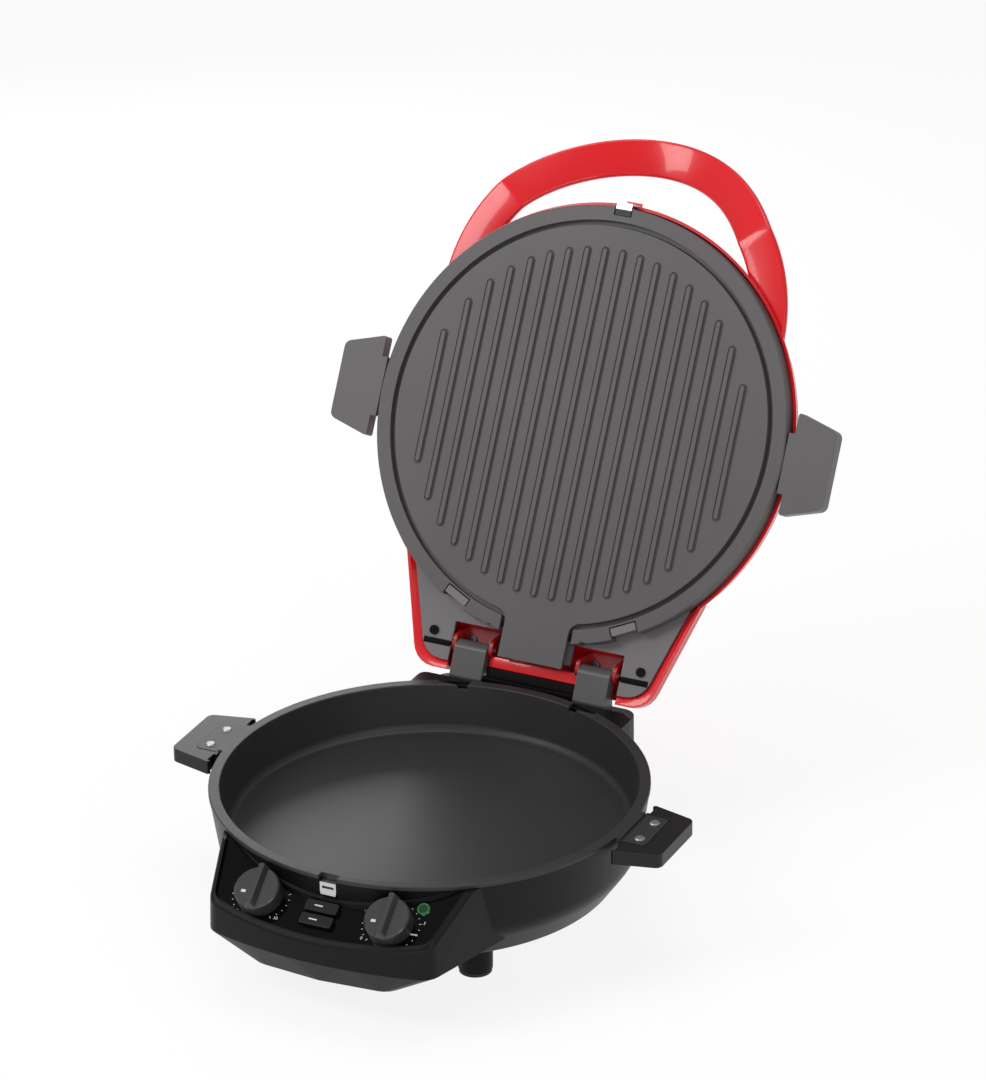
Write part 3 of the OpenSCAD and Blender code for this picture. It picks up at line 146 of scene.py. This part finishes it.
def soft_box(name, place, aim, width, height, power):
    bpy.ops.object.light_add(type="AREA", location=place)
    lamp = bpy.context.object
    lamp.name = name
    lamp.data.shape = "RECTANGLE"
    lamp.data.size, lamp.data.size_y = width, height
    lamp.data.energy = power
    lamp.rotation_euler = (Vector(place) - Vector(aim)).to_track_quat("Z", "Y").to_euler()


middle_aim, low_aim, grip_aim = (0, 0, 0.2), (0, 0, 0.15), (-0.19, -0.12, 0.1)
soft_box("key_box", (-1.6, -1.6, 2.2), middle_aim, 1.2, 1.2, 34)
soft_box("fill_box", (2.0, -1.6, 1.2), middle_aim, 1.0, 1.6, 14)
soft_box("top_box", (0, 0.4, 2.6), middle_aim, 2.0, 1.4, 22)
soft_box("low_box", (0.5, -2.4, 0.5), low_aim, 1.8, 0.7, 8)
soft_box("back_box", (-0.95, 1.15, 0.62), grip_aim, 0.7, 0.5, 5)


# Moulded housing
# One black ABS moulding with a fine spark eroded grain, on which all of the base is mounted.
# Its crest and corners are broken by a small round, as they leave the mould.
def moulded_plastic(name, colour, roughness, grain=0.05, spread=0.08, speckle=2200, specular=0.5):
    """Plastic or paint with a slow drift of its colour and a fine grain on its face."""
    drift_scale, grain_height = 14, 0.0004
    material, n, l = new_material(name)
    shader = n["Principled BSDF"]
    shader.inputs["Roughness"].default_value = roughness
    shader.inputs["Specular IOR Level"].default_value = specular
    where = n.new("ShaderNodeTexCoord")
    cloud = n.new("ShaderNodeTexNoise")
    cloud.inputs["Scale"].default_value = drift_scale
    ramp = n.new("ShaderNodeValToRGB")
    base = paint(colour)
    ramp.color_ramp.elements[0].position = 0.3
    ramp.color_ramp.elements[1].position = 0.7
    ramp.color_ramp.elements[0].color = [c * (1 - spread) for c in base[:3]] + [1]
    ramp.color_ramp.elements[1].color = [c * (1 + spread) for c in base[:3]] + [1]
    grit = n.new("ShaderNodeTexNoise")
    grit.inputs["Scale"].default_value = speckle
    grit.inputs["Detail"].default_value = 2
    bump = n.new("ShaderNodeBump")
    bump.inputs["Strength"].default_value = grain
    bump.inputs["Distance"].default_value = grain_height
    l.new(where.outputs["Object"], cloud.inputs["Vector"])
    l.new(where.outputs["Object"], grit.inputs["Vector"])
    l.new(cloud.outputs["Fac"], ramp.inputs[0])
    l.new(ramp.outputs[0], shader.inputs["Base Color"])
    l.new(grit.outputs["Fac"], bump.inputs["Height"])
    l.new(bump.outputs[0], shader.inputs["Normal"])
    return material


def finish(material, *names):
    """Gives the solids of the frame their material."""
    for name in names:
        for slot in nodes[name].material_slots:
            slot.material = material


def pick(solid):
    """Makes one object the only selected and the active one."""
    bpy.ops.object.select_all(action="DESELECT")
    solid.select_set(True)
    bpy.context.view_layer.objects.active = solid


def soften(solid, width, segments, sharp=None):
    """Rounds the sharp edges of a solid, where an angle in degrees can say what sharp is."""
    rounding = solid.modifiers.new("rounding", "BEVEL")
    rounding.width = width
    rounding.segments = segments
    if sharp:
        rounding.limit_method = "ANGLE"
        rounding.angle_limit = radians(sharp)
    bpy.ops.object.modifier_apply(modifier="rounding")


def rounded_copy(node, body, material, edge, sharp=35, flat=0.6):
    """A solid of the frame once more, shaded smooth, with its sharp edges rounded by edge."""
    weld = 0.02 * mm
    solid = bpy.data.objects.new(node + "_finished", nodes[node].data.copy())
    bpy.context.scene.collection.objects.link(solid)
    pick(solid)
    bpy.ops.mesh.customdata_custom_splitnormals_clear()
    bpy.ops.object.mode_set(mode="EDIT")
    bpy.ops.mesh.select_all(action="SELECT")
    bpy.ops.mesh.remove_doubles(threshold=weld)
    bpy.ops.mesh.dissolve_limited(angle_limit=radians(flat))
    bpy.ops.mesh.normals_make_consistent(inside=False)
    bpy.ops.object.mode_set(mode="OBJECT")
    if edge:
        soften(solid, edge, 2, sharp)
    bpy.ops.object.shade_smooth_by_angle(angle=radians(sharp))
    if edge:
        evening = solid.modifiers.new("evening", "WEIGHTED_NORMAL")
        evening.keep_sharp = True
        bpy.ops.object.modifier_apply(modifier="evening")
    solid.data.materials.clear()
    solid.data.materials.append(material)
    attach(solid, body)
    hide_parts(node)
    return solid


housing_black = moulded_plastic("housing_black", "#0f0e10", 0.38, specular=0.16)
finish(housing_black, "base_housing")

# Feet
# Hollow legs of the same black plastic, each screwed up into the floor of the housing.
# Each stands on a soft rubber pad, and the grommet in the rear wall is of the same rubber.
foot_black = moulded_plastic("foot_black", "#0b0a0b", 0.5, specular=0.14)
rubber = moulded_plastic("rubber", "#141415", 0.75, 0.12)
foot_edge = 0.6 * mm
for foot in ("foot_front_left", "foot_front_right", "foot_rear_left", "foot_rear_right"):
    rounded_copy(foot, "base", foot_black, foot_edge)
finish(rubber, "foot_pads", "cord_gland")

# Steel inside and under the base
# The bottom cover and the lower reflector are pressed from bright tinned sheet.
# The screws, pins and clips are plated steel.
def brushed_metal(name, colour, roughness, stretch=(1, 1, 1)):
    """Metal with fine streaks in its colour and its polish."""
    streak_scale, darker, lighter, smoother, rougher = 260, 0.88, 1.08, 0.06, 0.08
    material, n, l = new_material(name)
    shader = n["Principled BSDF"]
    shader.inputs["Metallic"].default_value = 1
    where = n.new("ShaderNodeTexCoord")
    turn = n.new("ShaderNodeMapping")
    turn.inputs["Scale"].default_value = stretch
    streak = n.new("ShaderNodeTexNoise")
    streak.inputs["Scale"].default_value = streak_scale
    streak.inputs["Detail"].default_value = 3
    level_out = n.new("ShaderNodeMapRange")
    level_out.inputs["To Min"].default_value = roughness - smoother
    level_out.inputs["To Max"].default_value = roughness + rougher
    ramp = n.new("ShaderNodeValToRGB")
    base = paint(colour)
    ramp.color_ramp.elements[0].color = [c * darker for c in base[:3]] + [1]
    ramp.color_ramp.elements[1].color = [min(1, c * lighter) for c in base[:3]] + [1]
    l.new(where.outputs["Object"], turn.inputs["Vector"])
    l.new(turn.outputs[0], streak.inputs["Vector"])
    l.new(streak.outputs["Fac"], level_out.inputs["Value"])
    l.new(streak.outputs["Fac"], ramp.inputs[0])
    l.new(level_out.outputs[0], shader.inputs["Roughness"])
    l.new(ramp.outputs[0], shader.inputs["Base Color"])
    return material


sheet_steel = brushed_metal("sheet_steel", "#b4b6b9", 0.34, (1, 1, 0.2))
screw_steel = brushed_metal("screw_steel", "#8d8f92", 0.3)
finish(sheet_steel, "bottom_cover", "lower_reflector", "upper_reflector", "lower_element_clips",
    "upper_element_clips")
finish(screw_steel, "foot_screws", "cover_screws", "arm_screws", "timer_shaft", "thermostat_shaft",
    "hinge_pin_left", "hinge_pin_right", "handle_screws", "pan_latch_pin")

# Heating elements
# Sheathed steel tubes, blued and browned by the heat, each bent into two turns.
# Saddles of sheet steel carry both turns in front of the reflector.
element_tube = brushed_metal("element_tube", "#5d5650", 0.45)
finish(element_tube, "lower_element", "upper_element")

# Electrical parts inside
# Moulded cases of the timer, the thermostat and the switches, a ceramic terminal block and a lamp.
# The closed base hides them, and the closed lid hides the thermal fuse.
case_cream = moulded_plastic("case_cream", "#cfc9b8", 0.5)
case_black = moulded_plastic("case_black", "#1b1b1d", 0.5)
finish(case_cream, "thermostat_body", "timer_body", "terminal_block", "thermal_fuse",
    "indicator_lamp")
finish(case_black, "heat_switches")

# Control panel
# A separate high gloss black plate let into the sloped top of the control box.
# The shafts of the knobs, the buttons and the lens come up through its holes.
panel_gloss = moulded_plastic("panel_gloss", "#050406", 0.12, 0.0, specular=0.16)
finish(panel_gloss, "control_panel")

# Push buttons
# Two black caps, one above the other in the panel, each with a softly rounded edge.
# Each is moulded in one with the stem that works its switch.
button_gloss = moulded_plastic("button_gloss", "#100e10", 0.32, 0.0, specular=0.25)
button_edge = 0.5 * mm
rounded_copy("upper_heat_button", "upper_button", button_gloss, button_edge)
rounded_copy("lower_heat_button", "lower_button", button_gloss, button_edge)

# Indicator
# A clear green lens in a round hole at the right of the panel.
# The light of the lamp behind it is painted round its rim as a brighter green ring.
panel_tilt = radians(33)
panel_middle = rim_middle + Vector((0, -168.4, -25.8)) * mm
lens_x, lens_y, lens_rim, ring_t, ring_up = 72, 18.3, 4.1, 0.55, 1.35


def on_panel(x, y, height=0.0):
    """A point of the panel face in millimetres along and up it, as a place in the frame."""
    up = y * sin(panel_tilt) + height * cos(panel_tilt)
    inward = y * cos(panel_tilt) - height * sin(panel_tilt)
    return panel_middle + Vector((x, inward, up)) * mm


lens_green = moulded_plastic("lens_green", "#0d3a1d", 0.08, 0)
finish(lens_green, "indicator_lens")
# A brighter green ring as a painted glow of the lamp; it gives no light of its own.
painted_glow_green = moulded_plastic("painted_glow_green", "#22713c", 0.3, 0)
bpy.ops.mesh.primitive_torus_add(major_radius=lens_rim * mm, minor_radius=ring_t * mm,
    major_segments=48, minor_segments=10, location=on_panel(lens_x, lens_y, ring_up),
    rotation=(panel_tilt, 0, 0))
glow_ring = bpy.context.object
glow_ring.name = "indicator_glow_ring"
bpy.ops.object.transform_apply()
bpy.ops.object.shade_smooth()
glow_ring.data.materials.append(painted_glow_green)
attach(glow_ring, "base")

# Dial and button marks
# White pad printing on the panel: a ring of ticks and plain numbers round each knob.
# Three small bars stand beside the lamp and the knobs.
print_white = moulded_plastic("print_white", "#c8c8c8", 0.5, 0)
dial_r, knob_x, print_t = 22.2, 53, 0.12
dial_flat, tick_count, tick_w, tick_long, tick_short = 0.86, 20, 0.5, 2.0, 1.1
tick_start, tick_sweep = 232, 284
number_start, number_sweep, number_size, number_flat = 226, 272, 3.4, 0.84
number_out_x, number_out_y = dial_r + 3.6, dial_r + 2.2
sign_bars = ((61, 21.5, 3.4, 1.2, 0.0), (71, -3, 8.8, 1.1, 0.12), (-66, -18, 5, 0.9, -0.4))
marks = []


def printed_bar(x, y, width, height, turn=0.0, lift=0.0):
    """A thin white bar on the panel, or above it by a lift in millimetres."""
    bpy.ops.mesh.primitive_cube_add(size=1, location=on_panel(x, y, lift + print_t / 2))
    bar = bpy.context.object
    bar.scale = (width * mm, height * mm, print_t * mm)
    tilted = Matrix.Rotation(panel_tilt, 3, "X") @ Matrix.Rotation(turn, 3, "Z")
    bar.rotation_euler = tilted.to_euler()
    return bar


def printed_number(text, x, y, size):
    """A plain number on the panel, as a mesh."""
    bpy.ops.object.text_add(location=on_panel(x, y, print_t / 2), rotation=(panel_tilt, 0, 0))
    number = bpy.context.object
    number.data.body = text
    number.data.size = size * mm
    number.data.align_x = "CENTER"
    number.data.align_y = "CENTER"
    number.data.extrude = print_t / 2 * mm
    bpy.ops.object.convert(target="MESH")
    return bpy.context.object


for side, numbers in ((-1, ("0", "10", "20", "30")), (1, ("0", "1", "2", "3", "4"))):
    for tick in range(tick_count + 1):
        angle = radians(tick_start - tick_sweep * tick / tick_count)
        tall = tick_long if tick % 5 == 0 else tick_short
        marks.append(printed_bar(side * knob_x + dial_r * cos(angle),
            dial_r * sin(angle) * dial_flat, tall, tick_w, angle))
    for i, number in enumerate(numbers):
        angle = radians(number_start - number_sweep * i / (len(numbers) - 1))
        marks.append(printed_number(number, side * knob_x + number_out_x * cos(angle),
            number_out_y * sin(angle) * number_flat, number_size))
for bar_sizes in sign_bars:
    marks.append(printed_bar(*bar_sizes))
bpy.ops.object.select_all(action="DESELECT")
for mark in marks:
    mark.select_set(True)
bpy.context.view_layer.objects.active = marks[0]
bpy.ops.object.join()
panel_print = bpy.context.object
panel_print.name = "panel_print"
bpy.ops.object.transform_apply()
panel_print.data.materials.clear()
panel_print.data.materials.append(print_white)
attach(panel_print, "base")

button_h, button_mark_x, button_mark_w, button_mark_t = 4.0, -5, 6.5, 1.0
for body, y in (("upper_button", 0.9), ("lower_button", -10.6)):
    button_mark = printed_bar(button_mark_x, y, button_mark_w, button_mark_t, 0, button_h)
    button_mark.name = body + "_mark"
    bpy.ops.object.transform_apply()
    button_mark.data.materials.append(print_white)
    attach(button_mark, body)

# Knobs
# Black moulded knobs with a sloped ridge to grip, a fine satin face and one printed bar.
# Each is pushed onto the shaft of the timer or the thermostat.
knob_black = moulded_plastic("knob_black", "#2a292b", 0.3)
knob_edge, knob_sharp = 0.7 * mm, 28
knob_h, knob_mark_in, knob_mark_y = 13.0, 8.4, -5
knob_mark_w, knob_mark_t, knob_mark_turn = 3.6, 2.2, 0.07
for knob, body, side in (("timer_knob", "timer", -1), ("thermostat_knob", "thermostat", 1)):
    rounded_copy(knob, body, knob_black, knob_edge, knob_sharp)
    knob_mark = printed_bar(side * knob_x - knob_mark_in, knob_mark_y, knob_mark_w, knob_mark_t,
        knob_mark_turn, knob_h)
    knob_mark.name = knob + "_mark"
    bpy.ops.object.transform_apply()
    knob_mark.data.materials.append(print_white)
    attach(knob_mark, body)

# Deep pan
# Die cast aluminium with a dark non-stick coat, matt inside, with a flat rim.
# It lies loose in the bowl of the housing and lifts out.
pan_coat = moulded_plastic("pan_coat", "#2a292b", 0.42, 0.1, 0.05, 1500, 0.35)
finish(pan_coat, "deep_pan")

# Grips of the pan
# Heat proof mouldings round the cast tabs, held by two bright rivets each.
# Their edges are broken by a small round.
grip_black = moulded_plastic("grip_black", "#121113", 0.36, specular=0.3)
grip_edge = 0.8 * mm
rounded_copy("pan_grip_left", "pan", grip_black, grip_edge)
rounded_copy("pan_grip_right", "pan", grip_black, grip_edge)
rivet_pale = brushed_metal("rivet_pale", "#a3a3a5", 0.4)
finish(rivet_pale, "pan_rivets")

# Pan hook
# A bent strip of bright spring steel that holds the pan down at the front.
# It swings on a pin in the wall of the bowl.
bright_steel = brushed_metal("bright_steel", "#c9cacc", 0.24)
finish(bright_steel, "pan_latch")

# Hinge arms
# Two stout dark grey mouldings on the rear ledge, each with a rounded head round its pin.
# Screws hold them to the ledge, and bronze bushes line their pin holes.
arm_grey = moulded_plastic("arm_grey", "#4b494a", 0.38)
arm_edge = 0.8 * mm
rounded_copy("hinge_arm_left", "base", arm_grey, arm_edge)
rounded_copy("hinge_arm_right", "base", arm_grey, arm_edge)
bush_bronze = brushed_metal("bush_bronze", "#b08d4c", 0.35)
finish(bush_bronze, "hinge_bushes")

# Hinge brackets
# Steel cheeks under the tail of the lid, painted with the lid and screwed to its roof; their red
# is darker, as painted shade inside the tail.
# They turn on the pins of the hinge arms.
# A darker red than the lid's, as painted shade inside the tail.
bracket_shaded_red = moulded_plastic("bracket_shaded_red", "#9c0f14", 0.3, 0.02)
rivet_dark = brushed_metal("rivet_dark", "#55555a", 0.38)
finish(bracket_shaded_red, "hinge_bracket_left", "hinge_bracket_right")
finish(rivet_dark, "bracket_screws")

# Lid shell
# A deep domed shell, moulded in red and lacquered to a high gloss.
# Its tail covers the hinge and has a window for each arm.
def lacquer(name, colour):
    """Smooth paint under a clear coat."""
    material = moulded_plastic(name, colour, 0.28, 0.004, 0.04, specular=0.3)
    shader = material.node_tree.nodes["Principled BSDF"]
    shader.inputs["Coat Weight"].default_value = 0.45
    shader.inputs["Coat Roughness"].default_value = 0.08
    return material


lid_red = lacquer("lid_red", "#d3101b")
shell_sharp, shell_flat = 30, 0.02
rounded_copy("lid_shell", "lid", lid_red, 0, shell_sharp, shell_flat)

# Loop handle
# One broad flat band that arches over the front of the lid, moulded with soft edges.
# Its two feet meet the sides of the dome, and a screw from inside holds each.
hinge = rim_middle + Vector((0, 183.6, 16.1)) * mm
lid_open = radians(119.5)
loop_half, loop_feet, loop_depth, loop_w, loop_t = 144, 90, 141.5, 29, 6
loop_low, loop_rise, loop_spread, loop_power, loop_edge = 22, 43, 115, 1.15, 2.2
stations = 96
lid_turn = Matrix.Rotation(-lid_open, 4, "X")
opened = Matrix.Translation(hinge) @ lid_turn @ Matrix.Translation(-hinge)


def loop_point(i):
    """Middle of the band at one station, with the lid shut."""
    t = pi * i / stations
    edge = Vector((loop_half * cos(t), -loop_feet - loop_depth * sin(t)))
    out_way = Vector((cos(t) / loop_half, -sin(t) / loop_depth)).normalized()
    rise_share = max(0.0, 1 - (edge.x / loop_spread) ** 2) ** loop_power
    middle = edge - out_way * loop_w / 2
    return rim_middle + Vector((middle.x, middle.y, loop_low + loop_rise * rise_share)) * mm


line = bpy.data.curves.new("loop_line", "CURVE")
line.dimensions = "3D"
line.twist_mode = "Z_UP"
spline = line.splines.new("POLY")
spline.points.add(stations)
places = [loop_point(i) for i in range(stations + 1)]
for point, place in zip(spline.points, places):
    point.co = (*place, 1)
guide = bpy.data.objects.new("loop_line", line)
bpy.context.scene.collection.objects.link(guide)
length = sum((b - a).length for a, b in zip(places, places[1:]))
bpy.ops.mesh.primitive_cube_add(size=1)
loop = bpy.context.object
loop.name = "lid_handle_band"
loop.scale = (length, loop_w * mm, loop_t * mm)
loop.location = (length / 2, 0, 0)
bpy.ops.object.transform_apply()
soften(loop, loop_edge * mm, 4)
bpy.ops.object.mode_set(mode="EDIT")
for cut in range(1, 2 * stations):
    bpy.ops.mesh.select_all(action="SELECT")
    bpy.ops.mesh.bisect(plane_co=(length * cut / (2 * stations), 0, 0), plane_no=(1, 0, 0))
bpy.ops.object.mode_set(mode="OBJECT")
bend = loop.modifiers.new("bend", "CURVE")
bend.object = guide
bpy.ops.object.modifier_apply(modifier="bend")
bpy.data.objects.remove(guide)
loop.data.transform(opened)
pick(loop)
bpy.ops.object.shade_smooth_by_angle(angle=radians(50))
loop.data.materials.append(lid_red)
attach(loop, "lid")
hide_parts("lid_handle")

# Flanks of the loop handle
# Where each leg lands, a long flank of the same red moulding runs back along the side of the lid.
# It grows out of the leg, is full from there past the grip, and ends in the tail.
shell_r, edge_z = 173.5, 14
flank_start, flank_end, flank_steps, flank_growth = -44, 40, 84, 18
flank_in, flank_low, flank_top, flank_rise = 158, 15, 24, 4.5
flank_leg, flank_side, flank_edge = 165, 170.4, 2.5


def soft_step(share):
    """Goes from 0 to 1 with no kink at either end."""
    share = max(0.0, min(1.0, share))
    return share * share * (3 - 2 * share)


bpy.ops.mesh.primitive_plane_add(size=1)
flank = bpy.context.object
flank.name = "handle_flank_right"
corners = ((flank_in, flank_low), (flank_side, flank_low), (flank_side, flank_top),
    (flank_in, flank_top))
for vertex, (r, z) in zip((flank.data.vertices[k] for k in (0, 1, 3, 2)), corners):
    vertex.co = (r * cos(radians(flank_start)), r * sin(radians(flank_start)), z)
bpy.ops.object.mode_set(mode="EDIT")
bpy.ops.mesh.select_all(action="SELECT")
bpy.ops.mesh.spin(steps=flank_steps, angle=radians(flank_end - flank_start), center=(0, 0, 0),
    axis=(0, 0, -1))
bpy.ops.object.mode_set(mode="OBJECT")
for vertex in flank.data.vertices:
    x, y, z = vertex.co
    angle = atan2(y, x)
    grown = soft_step((degrees(angle) - flank_start) / flank_growth)
    r = flank_in
    if x * x + y * y > (flank_in + 1) ** 2:
        r = flank_leg + (flank_side - flank_leg) * grown
    if z > flank_low + 1:
        z += flank_rise * grown
    vertex.co = (r * cos(angle), r * sin(angle), z)
pick(flank)
bpy.ops.object.mode_set(mode="EDIT")
bpy.ops.mesh.select_all(action="SELECT")
bpy.ops.mesh.normals_make_consistent(inside=False)
bpy.ops.object.mode_set(mode="OBJECT")
soften(flank, flank_edge, 4, 40)
flank.data.transform(Matrix.Translation(rim_middle) @ Matrix.Scale(mm, 4))
twin = bpy.data.objects.new("handle_flank_left", flank.data.copy())
bpy.context.scene.collection.objects.link(twin)
twin.data.transform(Matrix.Scale(-1, 4, (1, 0, 0)))
twin.data.flip_normals()
for side_flank in (flank, twin):
    side_flank.data.transform(opened)
    pick(side_flank)
    bpy.ops.object.shade_smooth_by_angle(angle=radians(50))
    side_flank.data.materials.append(lid_red)
    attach(side_flank, "lid")

# Plate hook
# A bent strip of bright spring steel that holds the front of the grill plate.
# Its finger tab above the edge of the lid carries a red cap, and the lower part of the tip of its
# lip is coloured black.
hook = rounded_copy("plate_latch", "lid_hook", bright_steel, 0)
hook.data.materials.append(lid_red)
hook.data.materials.append(case_black)
closed = opened.inverted()
black_tip_y, cap_y, lip_z = -168.3, -shell_r + 1.5, edge_z - 2
pick(hook)
bpy.ops.object.mode_set(mode="EDIT")
bpy.ops.mesh.select_all(action="SELECT")
bpy.ops.mesh.bisect(plane_co=opened @ (rim_middle + Vector((0, black_tip_y, 0)) * mm),
    plane_no=opened.to_3x3() @ Vector((0, 1, 0)))
bpy.ops.object.mode_set(mode="OBJECT")
for face in hook.data.polygons:
    place = ((closed @ face.center) - rim_middle) / mm
    if place.y < cap_y:
        face.material_index = 1
    elif place.y > black_tip_y and place.z < lip_z:
        face.material_index = 2

# Spring of the plate hook
# A short coil of steel wire between the post of the liner and the inner leg of the hook.
# It is pressed to about half of its length when the hook is pulled.
spring = rounded_copy("plate_latch_spring", "lid", screw_steel, 0)
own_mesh(spring)

# Trim between the hinge arms
# Below the spout the shell turns in to a red lip, and a black strip along its rear edge paints the
# shade of the tail's rear wall.
# A black bar on the ledge of the base closes the view under it; its near black is partly the black
# moulding and partly painted shade.
# A near black that paints the shade in gaps and recesses.
painted_shade_black = moulded_plastic("painted_shade_black", "#060606", 0.6, 0.1, specular=0.1)
strip_half, strip_edge, bar_half = 37.5, 0.6, 38.6


def moulded_strip(name, material, on_lid, low, high, edge, segments):
    """A straight strip between two corners, given in millimetres with the lid shut."""
    low, high = Vector(low), Vector(high)
    bpy.ops.mesh.primitive_cube_add(size=1, location=rim_middle + (low + high) / 2 * mm)
    strip = bpy.context.object
    strip.name = name
    strip.scale = (high - low) * mm
    bpy.ops.object.transform_apply()
    soften(strip, edge * mm, segments)
    if on_lid:
        strip.data.transform(opened)
    bpy.ops.object.shade_smooth_by_angle(angle=radians(40))
    strip.data.materials.append(material)
    return strip


for name, material, body, low, high in (
        ("tail_lip", lid_red, "lid", (-strip_half, 187.8, 14.2), (strip_half, 196.4, 16.2)),
        ("tail_shade_strip", painted_shade_black, "lid", (-strip_half, 196.5, 13.5), (strip_half, 204.6, 16.0)),
        ("hinge_bar", painted_shade_black, "base", (-bar_half, 165.9, -14.1), (bar_half, 169.9, 1.0))):
    trim = moulded_strip(name, material, body == "lid", low, high, strip_edge, 3)
    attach(trim, body)

# Shadow in the slots of the tail
# A black strip lies in the slot that crosses the liner outside each arm, a little proud of it, as
# painted shadow of the gap.
# Each is a plain straight strip with a fine round on its edges.
slot_shadow_in, slot_shadow_out, slot_shadow_edge = 72.7, 95.5, 0.3
slot_shadow_front, slot_shadow_rear, slot_shadow_low, slot_shadow_high = 182.9, 187.5, 13.6, 14.6
for name, side in (("slot_shadow_left", -1), ("slot_shadow_right", 1)):
    near, far = sorted((side * slot_shadow_in, side * slot_shadow_out))
    strip = moulded_strip(name, painted_shade_black, True, (near, slot_shadow_front, slot_shadow_low),
        (far, slot_shadow_rear, slot_shadow_high), slot_shadow_edge, 2)
    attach(strip, "lid")

# Liner of the lid
# A grey coated steel sheet that closes the lid behind the grill plate.
# Screws hold it to the lid, their heads painted near black as the shade of the recesses they sit
# in.
liner_grey = moulded_plastic("liner_grey", "#666365", 0.42, 0.03)
finish(liner_grey, "lid_liner")
finish(painted_shade_black, "liner_screws")

# Grill plate
# Cast aluminium with a grey non-stick coat: eighteen ribs, each with a fine trough along its foot.
# A fat groove runs round them and drains over the spout at the rear.
plate_coat = moulded_plastic("plate_coat", "#4e4b4c", 0.42, 0.12, 0.05, 1500, 0.4)
rib_count, rib_pitch, rib_w, rib_field_r, plate_level = 18, 14.9, 4.6, 137, 3.0
trough_r, trough_out, turn_steps = 0.75, rib_w / 2 + 0.35, 10
plate = rounded_copy("grill_plate", "grill", plate_coat, 0)
troughs = []
for i in range(rib_count):
    x = (i - (rib_count - 1) / 2) * rib_pitch
    half = sqrt(rib_field_r ** 2 - x ** 2) - rib_w / 2
    turns = [pi * k / turn_steps for k in range(turn_steps + 1)]
    turn = [(x + trough_out * cos(a), half + trough_out * sin(a)) for a in turns]
    outline = turn + [(2 * x - px, -py) for px, py in turn]
    ring = bpy.data.curves.new("trough", "CURVE")
    ring.dimensions = "3D"
    track = ring.splines.new("POLY")
    track.points.add(len(outline) - 1)
    track.use_cyclic_u = True
    for point, (px, py) in zip(track.points, outline):
        point.co = (*(rim_middle + Vector((px, py, plate_level)) * mm), 1)
    ring.bevel_depth = trough_r * mm
    ring.bevel_resolution = 2
    trough = bpy.data.objects.new("trough", ring)
    bpy.context.scene.collection.objects.link(trough)
    troughs.append(trough)
bpy.ops.object.select_all(action="DESELECT")
for trough in troughs:
    trough.select_set(True)
bpy.context.view_layer.objects.active = troughs[0]
bpy.ops.object.convert(target="MESH")
bpy.ops.object.join()
cutter = bpy.context.object
cutter.data.transform(opened)
carve = plate.modifiers.new("troughs", "BOOLEAN")
carve.object = cutter
carve.solver = "EXACT"
pick(plate)
bpy.ops.object.modifier_apply(modifier="troughs")
bpy.data.objects.remove(cutter)
bpy.ops.object.shade_smooth_by_angle(angle=radians(35))

# Grips of the grill plate
# Grey mouldings with a flat face to the food side, round the cast tabs of the plate.
# Dark rivets hold them there.
plate_grip_grey = moulded_plastic("plate_grip_grey", "#555253", 0.42, specular=0.4)
rounded_copy("plate_grip_left", "grill", plate_grip_grey, grip_edge)
rounded_copy("plate_grip_right", "grill", plate_grip_grey, grip_edge)
finish(rivet_dark, "plate_rivets")

# Size of the whole object
# The dressed object's box, as its low and high corners.
low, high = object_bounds()
